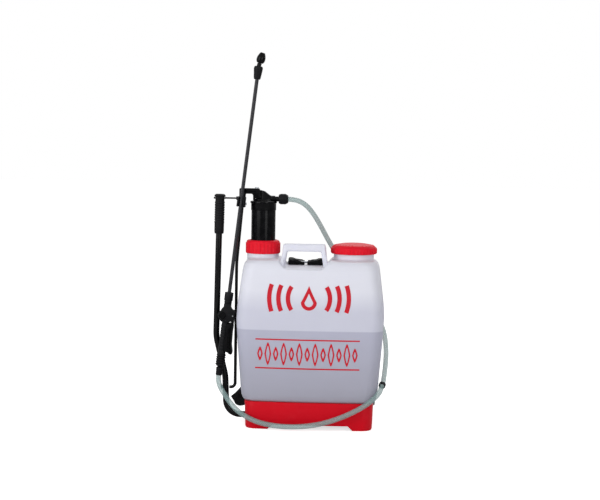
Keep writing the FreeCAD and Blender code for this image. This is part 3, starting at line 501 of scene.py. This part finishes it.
def skin(name, outlines, capped=True):
    """Circles shaped into outlines, bridged one to the next, and closed where asked for."""
    sides = len(outlines[0])
    obj = primitive("circle", name, vertices=sides, radius=1, location=(0, 0, 0))
    bpy.ops.object.mode_set(mode="EDIT")
    for _ in outlines[1:]:
        bpy.ops.mesh.primitive_circle_add(vertices=sides, radius=1, location=(0, 0, 0))
    shape = bmesh.from_edit_mesh(obj.data)
    for k, vertex in enumerate(shape.verts):
        vertex.co = Vector(outlines[k // sides][k % sides]) * MM
    bmesh.update_edit_mesh(obj.data)
    bpy.ops.mesh.select_all(action="SELECT")
    if len(outlines) > 1:
        bpy.ops.mesh.bridge_edge_loops()
    if capped:
        bpy.ops.mesh.select_all(action="DESELECT")
        bpy.ops.mesh.select_non_manifold()
        bpy.ops.mesh.fill_holes(sides=0)
    bpy.ops.mesh.select_all(action="SELECT")
    bpy.ops.mesh.normals_make_consistent(inside=False)
    bpy.ops.object.mode_set(mode="OBJECT")
    return obj


def plate(name, outline, low, high, round_edges=0, across="Y"):
    """A flat piece: an outline, in millimetres, stood up from low to high across an axis.
    The outline is (x, z) across Y and (y, z) across X."""
    obj = skin(name, [[(a, depth, b) if across == "Y" else (depth, a, b) for a, b in outline]
                      for depth in (low, high)])
    return rounded(obj, round_edges, 4, 20) if round_edges else obj


def drum(name, radius, low, high, x, sides=96):
    """An upright cylinder, in millimetres."""
    return settle(primitive("cylinder", name, vertices=sides, radius=radius * MM,
                            depth=(high - low) * MM, location=(x * MM, 0, (low + high) / 2 * MM)))


def on_lance(obj):
    """Lean a piece that was made upright on the lance's own axis."""
    for vertex in obj.data.vertices:
        vertex.co = LANCE_FOOT + LANCE_LEAN @ vertex.co
    return obj


def combine(obj, tool, operation="DIFFERENCE"):
    """Cut a tool out of a piece, or add it, and use the tool up."""
    modify(obj, "BOOLEAN", operation=operation, object=tool, solver="EXACT")
    bpy.data.objects.remove(tool)
    return obj


def merge(obj, *others):
    """Join pieces into one object without touching their shapes."""
    alone(obj)
    for other in others:
        other.select_set(True)
    bpy.ops.object.join()
    return obj


def spline_line(points, steps=14):
    """The smooth line of a route, as closely spaced points."""
    curve = bpy.data.curves.new("route", "CURVE")
    curve.dimensions = "3D"
    curve.resolution_u = steps
    spline = curve.splines.new("NURBS")
    spline.points.add(len(points) - 1)
    for point, (x, y, z) in zip(spline.points, points):
        point.co = (x * MM, y * MM, z * MM, 1)
    spline.order_u = 3
    spline.use_endpoint_u = True
    holder = bpy.data.objects.new("route", curve)
    mesh = bpy.data.meshes.new_from_object(holder)
    line = [vertex.co.copy() for vertex in mesh.vertices]
    bpy.data.objects.remove(holder)
    bpy.data.meshes.remove(mesh)
    return line


def swept(name, line, section, first_normal=None):
    """A closed skin round a line, with a map: round the section in u, metres along in v.
    section(k) gives the outline at point k as (out, side) pairs in metres."""
    mesh = bpy.data.meshes.new(name)
    shape = bmesh.new()
    layer = shape.loops.layers.uv.new("along")
    tangents = [(line[min(k + 1, len(line) - 1)] - line[max(k - 1, 0)]).normalized()
                for k in range(len(line))]
    normal = first_normal or tangents[0].orthogonal().normalized()
    rings, runs, run = [], [], 0
    for k, centre in enumerate(line):
        run += (centre - line[k - 1]).length if k else 0
        normal = (normal - tangents[k] * normal.dot(tangents[k])).normalized()
        other = tangents[k].cross(normal)
        rings.append([shape.verts.new(centre + out * normal + side * other)
                      for out, side in section(k)])
        runs.append(run)
    first = section(0)
    count = len(first)
    rounds = [0.0]
    for here, there in zip(first, first[1:] + first[:1]):
        rounds.append(rounds[-1] + math.dist(here, there))
    for k in range(len(rings) - 1):
        for j in range(count):
            n = (j + 1) % count
            face = shape.faces.new((rings[k][j], rings[k][n], rings[k + 1][n], rings[k + 1][j]))
            for loop, (u, v) in zip(face.loops, ((j, k), (j + 1, k), (j + 1, k + 1), (j, k + 1))):
                loop[layer].uv = (rounds[u], runs[v])
            face.smooth = True
    for ring, turn in ((rings[0], -1), (rings[-1], 1)):
        shape.faces.new(ring[::turn])
    shape.normal_update()
    shape.to_mesh(mesh)
    shape.free()
    return new_object(name, mesh), runs[-1]


# ------------------------------------------------------------------ stage
class SPRAYER_OT_stage(bpy.types.Operator):
    """Camera, soft lamps, white surroundings and floor"""
    bl_idname = "sprayer.stage"
    bl_label = "Stage"

    def execute(self, context):
        self.camera()
        self.world()
        self.lamps()
        self.floor()
        return {"FINISHED"}

    def camera(self):
        azimuth, pitch, roll = (math.radians(angle) for angle in (3, 4.7, 0.95))
        away, eye_height = 4.085, 0.780
        data = bpy.data.cameras.new("camera")
        data.lens, data.shift_x, data.shift_y = 96.7, -0.022, 0.003
        data.clip_start, data.clip_end = 0.1, 60
        camera = new_object("camera", data)
        camera.matrix_world = (
            Matrix.Rotation(azimuth, 4, "Z") @ Matrix.Translation((0, -away, eye_height))
            @ Matrix.Rotation(math.pi / 2 - pitch, 4, "X") @ Matrix.Rotation(roll, 4, "Z"))
        bpy.context.scene.camera = camera

    def world(self):
        """Even light, seen as white by the camera and in what is glossy or clear."""
        scene = bpy.context.scene
        scene.view_settings.view_transform = "Standard"
        scene.world = bpy.data.worlds.new("white_room")
        tree = empty_tree(scene.world)
        rays = tree.add("LightPath").outputs
        seen = tree.maths("MAXIMUM", rays["Is Camera Ray"], rays["Is Transmission Ray"])
        seen = tree.maths("MAXIMUM", seen, rays["Is Glossy Ray"])
        light, white = (tree.add("Background", {0: WHITE, 1: strength}).outputs[0]
                        for strength in (0.37, 1))
        mix = tree.add("MixShader", {0: seen, 1: light, 2: white})
        tree.add("OutputWorld", {0: mix.outputs[0]})

    def lamps(self):
        """Tall, low windows of light, so that upright black surfaces show a stripe."""
        for name, place, wide, tall, power in (
                ("key", (-2.2, -2.3, 1.35), 1.9, 2.2, 49),
                ("fill", (1.5, -2.6, 1.2), 1.2, 2.0, 26),
                ("back", (0.4, 2.4, 2.6), 1.8, 1.8, 28)):
            data = bpy.data.lights.new(name, "AREA")
            data.shape = "RECTANGLE"
            data.size, data.size_y = wide, tall
            data.energy = power
            lamp = new_object(name, data)
            lamp.location = place
            aim = Vector((0, 0, 0.35)) - lamp.location
            lamp.rotation_mode = "QUATERNION"
            lamp.rotation_quaternion = aim.to_track_quat("-Z", "Y")

    def floor(self):
        """White to the camera, and it keeps the object's shadow."""
        floor = settle(primitive("plane", "floor", size=30, location=(0, 0, -0.5 * MM)))
        material, tree, shader = new_material("floor_white")
        direct = tree.add("LightPath").outputs["Is Camera Ray"]
        tree.fill(shader, {"Base Color": (0.9, 0.9, 0.9, 1), "Roughness": 0.9,
                           "Specular IOR Level": 0, "Emission Color": WHITE,
                           "Emission Strength": tree.maths("MULTIPLY", direct, 0.69)})
        floor.data.materials.append(material)


# ------------------------------------------------------------------ hose
# middle line of each stretch, in millimetres
HOSE_UPPER = [
    (-70.5, 0, 576.8), (-48, 0, 576.8), (-24, 6, 566), (-5, 17, 545), (14, 41, 512),
    (33, 72, 472), (53, 95, 436), (78, 107, 398), (106, 109, 356), (137, 109, 313),
    (165, 103, 272), (184, 82, 234), (190.5, 46, 192), (189.5, 10, 157), (186.6, -18, 132),
    (184.4, -33.8, 118.3), (182.5, -42, 113)]
HOSE_LOWER = [
    (182.5, -42, 113), (180.6, -50.2, 107.7), (175.5, -70, 96), (154, -92, 77),
    (122, -100, 57), (78, -103, 36), (25, -103.5, 18.5), (-30, -103, 11.5), (-84, -100, 12),
    (-134, -92, 20.5), (-175, -74, 38), (-199.5, -54.5, 57), (-215.5, -40.5, 76),
    (-229, -30.3, 93), (-234.6, -26.6, 107), (-235.59, -26, 120.54), (-234.43, -26, 130.47)]


class SPRAYER_OT_hose(bpy.types.Operator):
    """The hose from the pump round the tank to the gun, in two stretches"""
    bl_idname = "sprayer.hose"
    bl_label = "Hose"

    def execute(self, context):
        diameter = sizes().hose_diameter
        ring = circle(diameter / 2, 24)
        for name, points, low, high in (
                ("hose_upper", HOSE_UPPER, (0.08, 0.1, 0.40), (-0.03, 0.0, 0.57)),
                ("hose_lower", HOSE_LOWER, (-0.05, -0.1, 0.02), (-0.228, -0.026, 0.11))):
            line = spline_line(points)
            hose, length = swept(name + "_braided", line, lambda k: ring)
            dress(hose, "braided_pvc", "hose_pvc")
            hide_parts(name)
            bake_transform(hose)
        return {"FINISHED"}


# ------------------------------------------------------------------ tank
BODY_MIDDLE = -2.5
# height, half width, half depth, corner radius, bow of the front and hollow of the back
TANK_LEVELS = [
    (69, 161.5, 73, 30, 4), (74, 167.5, 77, 32, 4), (84, 171.5, 79.5, 34, 5),
    (104, 174, 81, 34, 6), (150, 177.5, 82.5, 34, 7), (210, 182.3, 83.5, 34, 7),
    (275, 186.3, 84.5, 34, 7), (310, 184.3, 84.5, 34, 7), (350, 179.3, 83.5, 34, 7),
    (385, 174.6, 81.5, 35, 6), (406, 171.8, 79, 36, 6), (418, 168, 75, 36, 5),
    (425, 161.5, 69, 36, 5), (428, 152, 61, 34, 4)]
RECESS = {"left": -66, "right": 27.5, "floor": 405.5, "slope": 38, "top": 448}
# place across, outer and inner radius; then the foot and top of the necks and of their bores
NECKS = {"pump": (-128, 40.5, 36.5), "fill": (103.5, 51, 46)}
NECK_FOOT, NECK_TOP = 404, 444
BORE_FOOT, BORE_TOP = 406, 466
HANDLE = {"left": -72.7, "right": 33.3, "top": 467.5, "bar": 19, "leg": 10.6, "splay": 7.3,
          "foot": 402, "front": -58, "back": -32}


def tank_ring(level, inset):
    """Points of one level: straight sides, round corners, bowed front, hollowed back."""
    height, wide, deep, corner, bow = level
    wide, deep, corner = wide - inset, deep - inset, max(corner - inset, 4)
    steps = 12
    middles = ((wide - corner, corner - deep), (wide - corner, deep - corner),
               (corner - wide, deep - corner), (corner - wide, corner - deep))

    def on_corner(k, degrees):
        x, y = middles[k % 4]
        turn = math.radians(degrees)
        return x + corner * math.cos(turn), y + corner * math.sin(turn)

    points = []
    for k, start in enumerate((-90, 0, 90, 180)):
        points += [on_corner(k, start + 90 * j / steps) for j in range(steps + 1)]
        (ax, ay), (bx, by) = points[-1], on_corner(k + 1, start + 90)
        for j in range(1, steps):
            t = j / steps
            bulge = bow * 4 * t * (1 - t) if k in (1, 3) else 0
            points.append((ax * (1 - t) + bx * t, ay * (1 - t) + by * t - bulge))
    return [(BODY_MIDDLE + x, y, height) for x, y in points]


def tank_form(name, levels, inset):
    return skin(name, [tank_ring(level, inset) for level in levels])


def recess_cutter(name, less):
    """The saddle in the tank's top, between the two necks; less makes it larger all round."""
    left, right, floor = (RECESS["left"] - less, RECESS["right"] + less, RECESS["floor"] - less)
    return plate(name, [(left, floor), (right, floor), (right + RECESS["slope"], RECESS["top"]),
                        (left - RECESS["slope"], RECESS["top"])], -130, 130, 4)


class SPRAYER_OT_tank(bpy.types.Operator):
    """The blow-moulded tank: soft corners, hollow inside, open at its two necks"""
    bl_idname = "sprayer.tank"
    bl_label = "Tank"

    def execute(self, context):
        body = combine(tank_form("tank_shell", TANK_LEVELS, 0), recess_cutter("recess", 0))
        necks = [drum(name + "_neck", radius, NECK_FOOT, NECK_TOP, x)
                 for name, (x, radius, bore) in NECKS.items()]
        merge(body, *necks, *self.handle())
        remesh(body, sizes().tank_voxel)
        modify(body, "SMOOTH", factor=0.5, iterations=5)
        combine(body, self.hollow(sizes().tank_wall / MM))
        smooth(body, 50)
        dress(body, "natural_polyethylene", "tank_plastic")
        stand_for(body, "tank")
        return {"FINISHED"}

    def hollow(self, wall):
        """The space inside, with the bores of the two necks."""
        levels = [list(level) for level in TANK_LEVELS]
        levels[0][0] += wall
        levels[-1][0] -= wall
        hollow = combine(tank_form("cavity", levels, wall), recess_cutter("recess_under", wall))
        for name, (x, radius, bore) in NECKS.items():
            combine(hollow, drum(name + "_bore", bore, BORE_FOOT, BORE_TOP, x), "UNION")
        return hollow

    def handle(self):
        """A bar on two splayed legs, each with a foot running into the deck."""
        h = HANDLE
        left, right = h["left"] - h["splay"], h["right"] + h["splay"]
        under, foot, front = h["top"] - h["bar"], h["foot"], h["front"] + 2
        outline = [(left, foot), (left + h["leg"], foot), (h["left"] + h["leg"], under),
                   (h["right"] - h["leg"], under), (right - h["leg"], foot), (right, foot),
                   (h["right"], h["top"]), (h["left"], h["top"])]
        parts = [plate("handle_bar", outline, h["front"], h["back"], 4)]
        side = [(-77, foot), (front, foot), (front, foot + 36), (-70, foot + 16)]
        for name, x in (("left", left + 1.5), ("right", right - h["leg"])):
            parts.append(plate("handle_foot_" + name, side, x, x + h["leg"] - 1.5, 1.5, "X"))
        return parts


# ------------------------------------------------------------------ print
class SPRAYER_OT_print(bpy.types.Operator):
    """Red print on the tank's front: a drop among spray arcs, and a border of leaves"""
    bl_idname = "sprayer.print"
    bl_label = "Print"

    def execute(self, context):
        shapes = self.spray((-4, 334)) + self.border((-6, 193))
        film = merge(*shapes)
        film.name = film.data.name = "tank_print"
        self.divide(film)
        modify(film, "SHRINKWRAP", target=bpy.data.objects["tank_shell"], wrap_method="PROJECT",
               use_project_y=True, use_positive_direction=True, use_negative_direction=False,
               offset=sizes().print_thickness)
        modify(film, "SOLIDIFY", thickness=sizes().print_thickness * 0.8, offset=-1)
        dress(film, "print_ink", "red_plastic")
        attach(film, "tank")
        return {"FINISHED"}

    def flat(self, name, outline, hole=None):
        """A flat shape ahead of the tank; a hole has as many points as the outline."""
        front = -120
        rings = [[(x, front, z) for x, z in ring] for ring in (outline, hole) if ring]
        return skin(name, rings, capped=hole is None)

    def divide(self, film):
        """Cut the film into small faces, so that it can follow the tank's bowed front."""
        alone(film)
        step = 12 * MM
        reaches = [(axis, [v.co[axis] for v in film.data.vertices]) for axis in (0, 2)]
        bpy.ops.object.mode_set(mode="EDIT")
        for axis, places in reaches:
            normal = Vector((axis == 0, 0, axis == 2))
            place = min(places) + step
            while place < max(places):
                bpy.ops.mesh.select_all(action="SELECT")
                bpy.ops.mesh.bisect(plane_co=normal * place, plane_no=normal)
                place += step
        bpy.ops.object.mode_set(mode="OBJECT")

    def drop(self, x, z, tall):
        """A water drop: a circle drawn up to a point."""
        radius = tall * 0.32
        points = []
        for up, out in circle(1, 48):
            rise = max(up, 0)
            points.append((x + radius * out * (1 - rise) ** 0.55,
                           z + (tall - radius * 2) * rise ** 2 + radius * up))
        return points

    def spray(self, centre):
        """One large drop with three arcs each side of it."""
        x, z = centre
        shapes = [self.flat("drop", self.drop(x, z - 10, 62), self.drop(x, z - 10, 34))]
        for side in (-1, 1):
            for outer, half_angle in ((58, 34), (82, 25), (105, 20)):
                inner = outer - 11
                turns = [math.radians(half_angle * (j / 12 - 1)) for j in range(25)]
                arc = [(x + side * outer * math.cos(a), z + outer * math.sin(a)) for a in turns]
                arc += [(x + side * inner * math.cos(a), z + inner * math.sin(a))
                        for a in reversed(turns)]
                shapes.append(self.flat("arc", arc[::side]))
        return shapes

    def leaf(self, x, z, half_tall, half_wide):
        """A leaf that stands upright: two arcs that meet in points."""
        return [(x + half_wide * out,
                 z + half_tall * (1 - abs(out) ** 1.6) * (1 if up > 0 else -1))
                for up, out in circle(1, 32)]

    def border(self, centre):
        """Leaves, tall and short in turn, between two lines."""
        x, z = centre
        half, line, margin, count = 131, 3.4, 12, 13
        shapes = []
        for low in (z - 38, z + 34.6):
            shapes.append(self.flat("line", [(x - half, low), (x + half, low),
                                             (x + half, low + line), (x - half, low + line)]))
        for k in range(count):
            place = x - half + margin + 2 * (half - margin) * k / (count - 1)
            tall, wide = (29, 8.5) if k % 2 else (18, 7)
            shapes.append(self.flat("leaf", self.leaf(place, z, tall, wide),
                                    self.leaf(place, z, tall - 9, wide - 3.8)))
        return shapes


# ------------------------------------------------------------------ moulded pieces
# finish and slot
CAPS = ("red_caps_moulding", "red_plastic")
GLOSS = ("black_gloss", "black_plastic")
MATT = ("black_matt", "black_matte")
PAINT = ("black_powder_coat", "black_steel")
# node: how far its edges are rounded, in millimetres, then its finish and slot
ROUNDED = {
    "base": (1.4, "red_base_moulding", "red_plastic"),
    "pump_collar": (0.6, *CAPS),
    "filler_cap": (0.6, *CAPS),
    "pump_head": (0.7, *GLOSS),
    "pump_arm": (0.8, *GLOSS),
    "outlet_nut": (0.5, *MATT),
    "lever_cradle_loop": (0.6, *MATT),
    "lever_grip": (0.4, *MATT),
    "connecting_rod": (0.4, *PAINT),
    "gun_body": (0.5, *MATT),
    "trigger": (0.6, *GLOSS),
    "gun_nut": (0.4, *MATT),
    "hose_nut": (0.4, *MATT),
    "nozzle_nut": (0.4, *MATT),
    "nozzle_cap": (0.4, *GLOSS),
    "lance_clip": (0.5, *MATT),
    "strap_hook_left": (0.5, *MATT),
    "strap_hook_right": (0.5, *MATT),
}


class SPRAYER_OT_moulded(bpy.types.Operator):
    """Moulded pieces with their edges rounded: base, caps, pump head, gun and nuts"""
    bl_idname = "sprayer.moulded"
    bl_label = "Moulded pieces"

    def execute(self, context):
        added = {"pump_head": self.outlet, "trigger": self.cheeks,
                 "nozzle_nut": self.nozzle_collar, "gun_nut": self.lance_collar}
        for node, (width, finish, slot) in ROUNDED.items():
            piece = smooth(rounded(copy_of(node, node + "_moulded"), width, 2, 35), 40)
            if node in added:
                merge(piece, *added[node]())
            dress(piece, finish, slot)
            stand_for(piece, node)
        return {"FINISHED"}

    def outlet(self):
        """The outlet's pipe, and a web between the elbow and the arm's column."""
        height = 576.8
        rings = [[(x, y, height + z) for y, z in circle(6.5, 32)] for x in (-106, -88)]
        web = [(-141, 571), (-106, 571), (-106, 583.3), (-112, 586), (-120, 591.5),
               (-127, 596.8), (-134, 598.6), (-141, 599)]
        return smooth(skin("outlet_spigot", rings), 40), plate("arm_web", web, -4.5, 4.5, 0.8)

    def cheeks(self):
        """The trigger's two sides, drawn back over the grip."""
        outline = [(16, 138.2), (10, 136.8), (5, 134.5), (4, 118), (3, 80), (6, 65), (16, 62),
                   (24, 62), (20, 84), (18.5, 110), (18.5, 138.2)]
        return [smooth(on_lance(plate("trigger_cheek", outline, low, low + 1.9, 0.4)), 40)
                for low in (-12.2, 10.3)]

    def nozzle_collar(self):
        """The flared nut that carries the nozzle, wider towards its top."""
        rings = [[(x, y, z) for x, y in circle(radius, 40)]
                 for radius, z in ((5.5, 757.2), (8.2, 757.2), (8.8, 760), (10.6, 776),
                                   (11.3, 782), (11.3, 786), (9.6, 790), (5, 790.5))]
        return (smooth(on_lance(skin("nozzle_collar", rings)), 40),)

    def lance_collar(self):
        """The ring that locks the lance to the gun."""
        collar = rounded(drum("lance_collar", 11, 193, 214.5, 0, 48), 1.2, 2, 40)
        return (smooth(on_lance(collar), 40),)


# ------------------------------------------------------------------ straps and pads
# middle line of each web: x, y, z, then its width, in millimetres
WEBS = {
    "strap_web_left": [
        (-131, 92.6, 139.7, 26), (-138, 92.4, 118, 30), (-148, 92.8, 98, 37),
        (-162, 93.4, 78, 40), (-178, 93.2, 62, 38), (-192, 92.6, 51, 33), (-202, 92.8, 45, 29),
        (-208.2, 93, 41, 26)],
    "strap_end_left": [
        (-190, 91.2, 53, 18), (-198.2, 88.9, 45, 17), (-196.5, 88.2, 36.5, 17),
        (-186, 88.2, 37, 19), (-170, 88.5, 44.5, 20), (-156, 88.9, 55, 19)],
    "strap_web_right": [
        (89, 92.6, 139.7, 26), (95, 92.4, 120, 28), (106, 92.8, 104, 28), (122, 93.4, 88, 28),
        (139, 93.2, 72, 25), (152, 92.8, 61, 20), (161.4, 92.8, 57, 17)],
}


def flat_web(name, points):
    """A flat strap, with rolled edges."""
    line = spline_line([place for *place, wide in points], 8)
    thick = sizes().web_thickness / 2

    def section(k):
        part = k / (len(line) - 1) * (len(points) - 1)
        j = min(int(part), len(points) - 2)
        wide = points[j][3] * (j + 1 - part) + points[j + 1][3] * (part - j)
        half = wide / 2 * MM
        side = [(thick * 1.25, half - 0.8 * MM), (thick * 0.9, half), (-thick * 0.9, half),
                (-thick * 1.25, half - 0.8 * MM), (-thick, half - 2.4 * MM)]
        side += [(-thick, half * t) for t in (0.5, 0, -0.5)]
        return side + [(-a, -b) for a, b in side]

    return swept(name, line, section, Vector((0, -1, 0)))[0]


class SPRAYER_OT_straps(bpy.types.Operator):
    """Webbing: the loops round the bar in the tank's top, and the webs down to the hooks"""
    bl_idname = "sprayer.straps"
    bl_label = "Straps"

    def execute(self, context):
        for node, points in WEBS.items():
            web = flat_web(node + "_woven", points)
            dress(web, "woven_webbing", "webbing")
            if node in frame["nodes"]:
                stand_for(web, node)
            else:
                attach(web, "tank")
        for side in ("left", "right"):
            loop = self.loop("strap_loop_" + side, side)
            dress(loop, "pad_cloth", "webbing")
            stand_for(loop, "strap_loop_" + side)
        return {"FINISHED"}

    def loop(self, node, side):
        """A sewn sleeve of folded webbing, slumped on the deck behind the handle."""
        obj = copy_of(node, node + "_sewn")
        remesh(obj, 1.6 * MM)
        low, high = span(node)
        size = high - low
        for vertex in obj.data.vertices:
            u, v, w = ((vertex.co[k] - low[k]) / size[k] for k in range(3))
            taper = 1.22 - 0.62 * u if side == "left" else 0.66 + 0.5 * u
            if side == "left":
                vertex.co.x = high.x + (vertex.co.x - high.x) * 1.1
            wave = 0.5 + 0.5 * math.sin(9 * u + 3 * v + (0 if side == "left" else 2))
            front = max(0.0, 1 - v / 0.35)
            vertex.co.z = low.z + size.z * w * (taper - 0.16 * wave * w)
            vertex.co.y += front * size.y * 0.06 * math.sin(14 * w + 5 * u) * w
        modify(obj, "SMOOTH", factor=0.5, iterations=3)
        return smooth(obj, 60)


# middle of each pad (x, z), from its top to its lower end, and the lean of its buckle
PADS = {
    "left": ([(-44, 417), (-46.5, 392), (-79, 337), (-115, 235), (-130, 146)], -14),
    "right": ([(2.5, 417), (4.5, 390), (34, 337), (71, 235), (88, 146)], 14),
}


class SPRAYER_OT_pads(bpy.types.Operator):
    """Shoulder pads: foam in quilted cloth, with a strap sewn down the middle and a buckle"""
    bl_idname = "sprayer.pads"
    bl_label = "Shoulder pads"

    def execute(self, context):
        for side in ("left", "right"):
            node = "shoulder_pad_" + side
            pad = self.filled(node, node + "_quilted")
            dress(pad, "pad_cloth", "webbing")
            stand_for(pad, node)
            middle, lean = PADS[side]
            strap = self.sewn_strap("pad_strap_" + side, pad, middle)
            dress(strap, "woven_webbing", "webbing")
            buckle = self.buckle("buckle_" + side, (middle[-1][0] + lean * 0.25, 131), lean)
            dress(buckle, *GLOSS)
            for piece in (strap, buckle):
                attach(piece, "tank")
        return {"FINISHED"}

    def sewn_strap(self, name, pad, middle):
        """Webbing laid on the pad's outer face, down to the buckle."""
        points = []
        for x, z in middle:
            near = [v.co.y for v in pad.data.vertices
                    if abs(v.co.x - x * MM) < 12 * MM and abs(v.co.z - z * MM) < 6 * MM]
            points.append((x, max(near) / MM + 0.3, z, 25))
        x, y, z, wide = points[-1]
        return flat_web(name, points + [(x * 1.015, min(y, 98), z - 6, 25),
                                        (x * 1.035, 96.2, 124, 25)])

    def buckle(self, name, middle, lean):
        """A ladder lock: a flat frame with three bars and two slots."""
        turn = math.radians(lean)

        def leaning(half, low, high):
            return [(middle[0] + u * math.cos(turn) - v * math.sin(turn),
                     middle[1] + u * math.sin(turn) + v * math.cos(turn))
                    for u, v in ((-half, low), (half, low), (half, high), (-half, high))]

        ladder = plate(name, leaning(17.5, -11, 11), 97.8, 101.4, 1.2)
        for low in (-7.5, 2.5):
            combine(ladder, plate("slot", leaning(13.5, low, low + 5), 90, 105))
        return smooth(ladder, 40)

    def filled(self, node, name):
        """The pad's shape, blown up a little inside its cover and sewn across."""
        obj = copy_of(node, name)
        low, high = span(node)
        middle = (low.y + high.y) / 2
        flatness, shoulder, slope = 0.62, 20 * MM, 8 * MM
        seam_depth, seam_reach = 0.42, 4.5 * MM
        outer, wide = (-62.5, 37) if "left" in node else (22.5, -40)
        for vertex in obj.data.vertices:
            vertex.co.y = middle + (vertex.co.y - middle) * flatness
            top = max(0.0, (vertex.co.z - (high.z - shoulder)) / shoulder)
            inner = (vertex.co.x - outer * MM) / (wide * MM)
            vertex.co.z -= top * min(max(inner, 0), 1) * slope
        remesh(obj, 3.2 * MM)
        modify(obj, "SMOOTH", factor=0.5, iterations=4)
        self.blow(obj)
        for vertex in obj.data.vertices:
            for seam in range(4):
                near = abs(vertex.co.z - (low.z + (0.2 + 0.2 * seam) * (high.z - low.z)))
                dent = max(0.0, 1 - near / seam_reach) ** 2
                vertex.co.y += (middle - vertex.co.y) * seam_depth * dent
        modify(obj, "SUBSURF", levels=1, render_levels=1)
        return smooth(obj, 60)

    def blow(self, obj):
        """Air in the cover, for a moment, with nothing moved further than a few millimetres."""
        scene = bpy.context.scene
        last_frame, most = 16, 4 * MM
        start = [vertex.co.copy() for vertex in obj.data.vertices]
        alone(obj)
        cloth = obj.modifiers.new("Cloth", "CLOTH")
        cloth.settings.use_pressure = True
        cloth.settings.uniform_pressure_force = sizes().pad_pressure
        cloth.settings.tension_stiffness = cloth.settings.compression_stiffness = 12
        cloth.settings.effector_weights.gravity = 0
        cloth.point_cache.frame_start, cloth.point_cache.frame_end = 1, last_frame
        for step in range(1, last_frame + 1):
            scene.frame_set(step)
        bpy.ops.object.modifier_apply(modifier=cloth.name)
        scene.frame_set(1)
        for vertex, place in zip(obj.data.vertices, start):
            move = vertex.co - place
            if move.length > most:
                vertex.co = place + move.normalized() * most


# ------------------------------------------------------------------ other pieces
# finish and slot: the nodes that wear them
FINISH = {
    GLOSS: ["air_chamber", "valve_cap", "nozzle_stem"],
    MATT: ["guide_bush", "hook_clip", "hose_clip"],
    PAINT: ["lever_tube"],
    ("plated_steel", "zinc_steel"): [
        "arm_bolt", "rod_clip", "shaft_clip", "trigger_pin", "strap_bar"],
    ("lance_coat", "grey_tube"): ["lance_tube"],
    ("natural_nylon", "nylon"): [
        "lever_bush", "pump_cylinder", "intake_cage", "inlet_ball", "delivery_tube"],
    ("black_rubber", "seal_rubber"): ["neck_gasket", "piston_cup", "filler_seal", "vent_valve"],
    ("natural_nylon", "mesh_plastic"): ["filler_strainer"],
}


class SPRAYER_OT_finishes(bpy.types.Operator):
    """Finishes on the construction pieces that show as they are"""
    bl_idname = "sprayer.finishes"
    bl_label = "Finishes"

    def execute(self, context):
        for (finish, slot), nodes in FINISH.items():
            for node in nodes:
                dress(frame["nodes"][node], finish, slot)
        return {"FINISHED"}


class SPRAYER_PT_panel(bpy.types.Panel):
    """Buttons that make the sprayer's pieces"""
    bl_idname = "SPRAYER_PT_panel"
    bl_label = "Knapsack Sprayer"
    bl_space_type = "VIEW_3D"
    bl_region_type = "UI"
    bl_category = "Sprayer"

    def draw(self, context):
        column = self.layout.column()
        for operator in OPERATORS:
            column.operator(operator.bl_idname)
        for group in (sizes(), colours()):
            for key in group.__annotations__:
                column.prop(group, key)


OPERATORS = (
    SPRAYER_OT_stage, SPRAYER_OT_hose, SPRAYER_OT_tank, SPRAYER_OT_print, SPRAYER_OT_moulded,
    SPRAYER_OT_straps, SPRAYER_OT_pads, SPRAYER_OT_finishes)
CLASSES = (SprayerSizes, SprayerColours) + OPERATORS + (SPRAYER_PT_panel,)


def register():
    for each in CLASSES:
        bpy.utils.register_class(each)
    bpy.types.Scene.sprayer_sizes = bpy.props.PointerProperty(type=SprayerSizes)
    bpy.types.Scene.sprayer_colours = bpy.props.PointerProperty(type=SprayerColours)


def unregister():
    del bpy.types.Scene.sprayer_colours
    del bpy.types.Scene.sprayer_sizes
    for each in reversed(CLASSES):
        bpy.utils.unregister_class(each)


def main():
    register()
    for operator in OPERATORS:
        group, action = operator.bl_idname.split(".")
        getattr(getattr(bpy.ops, group), action)()


if __name__ == "__main__":
    main()
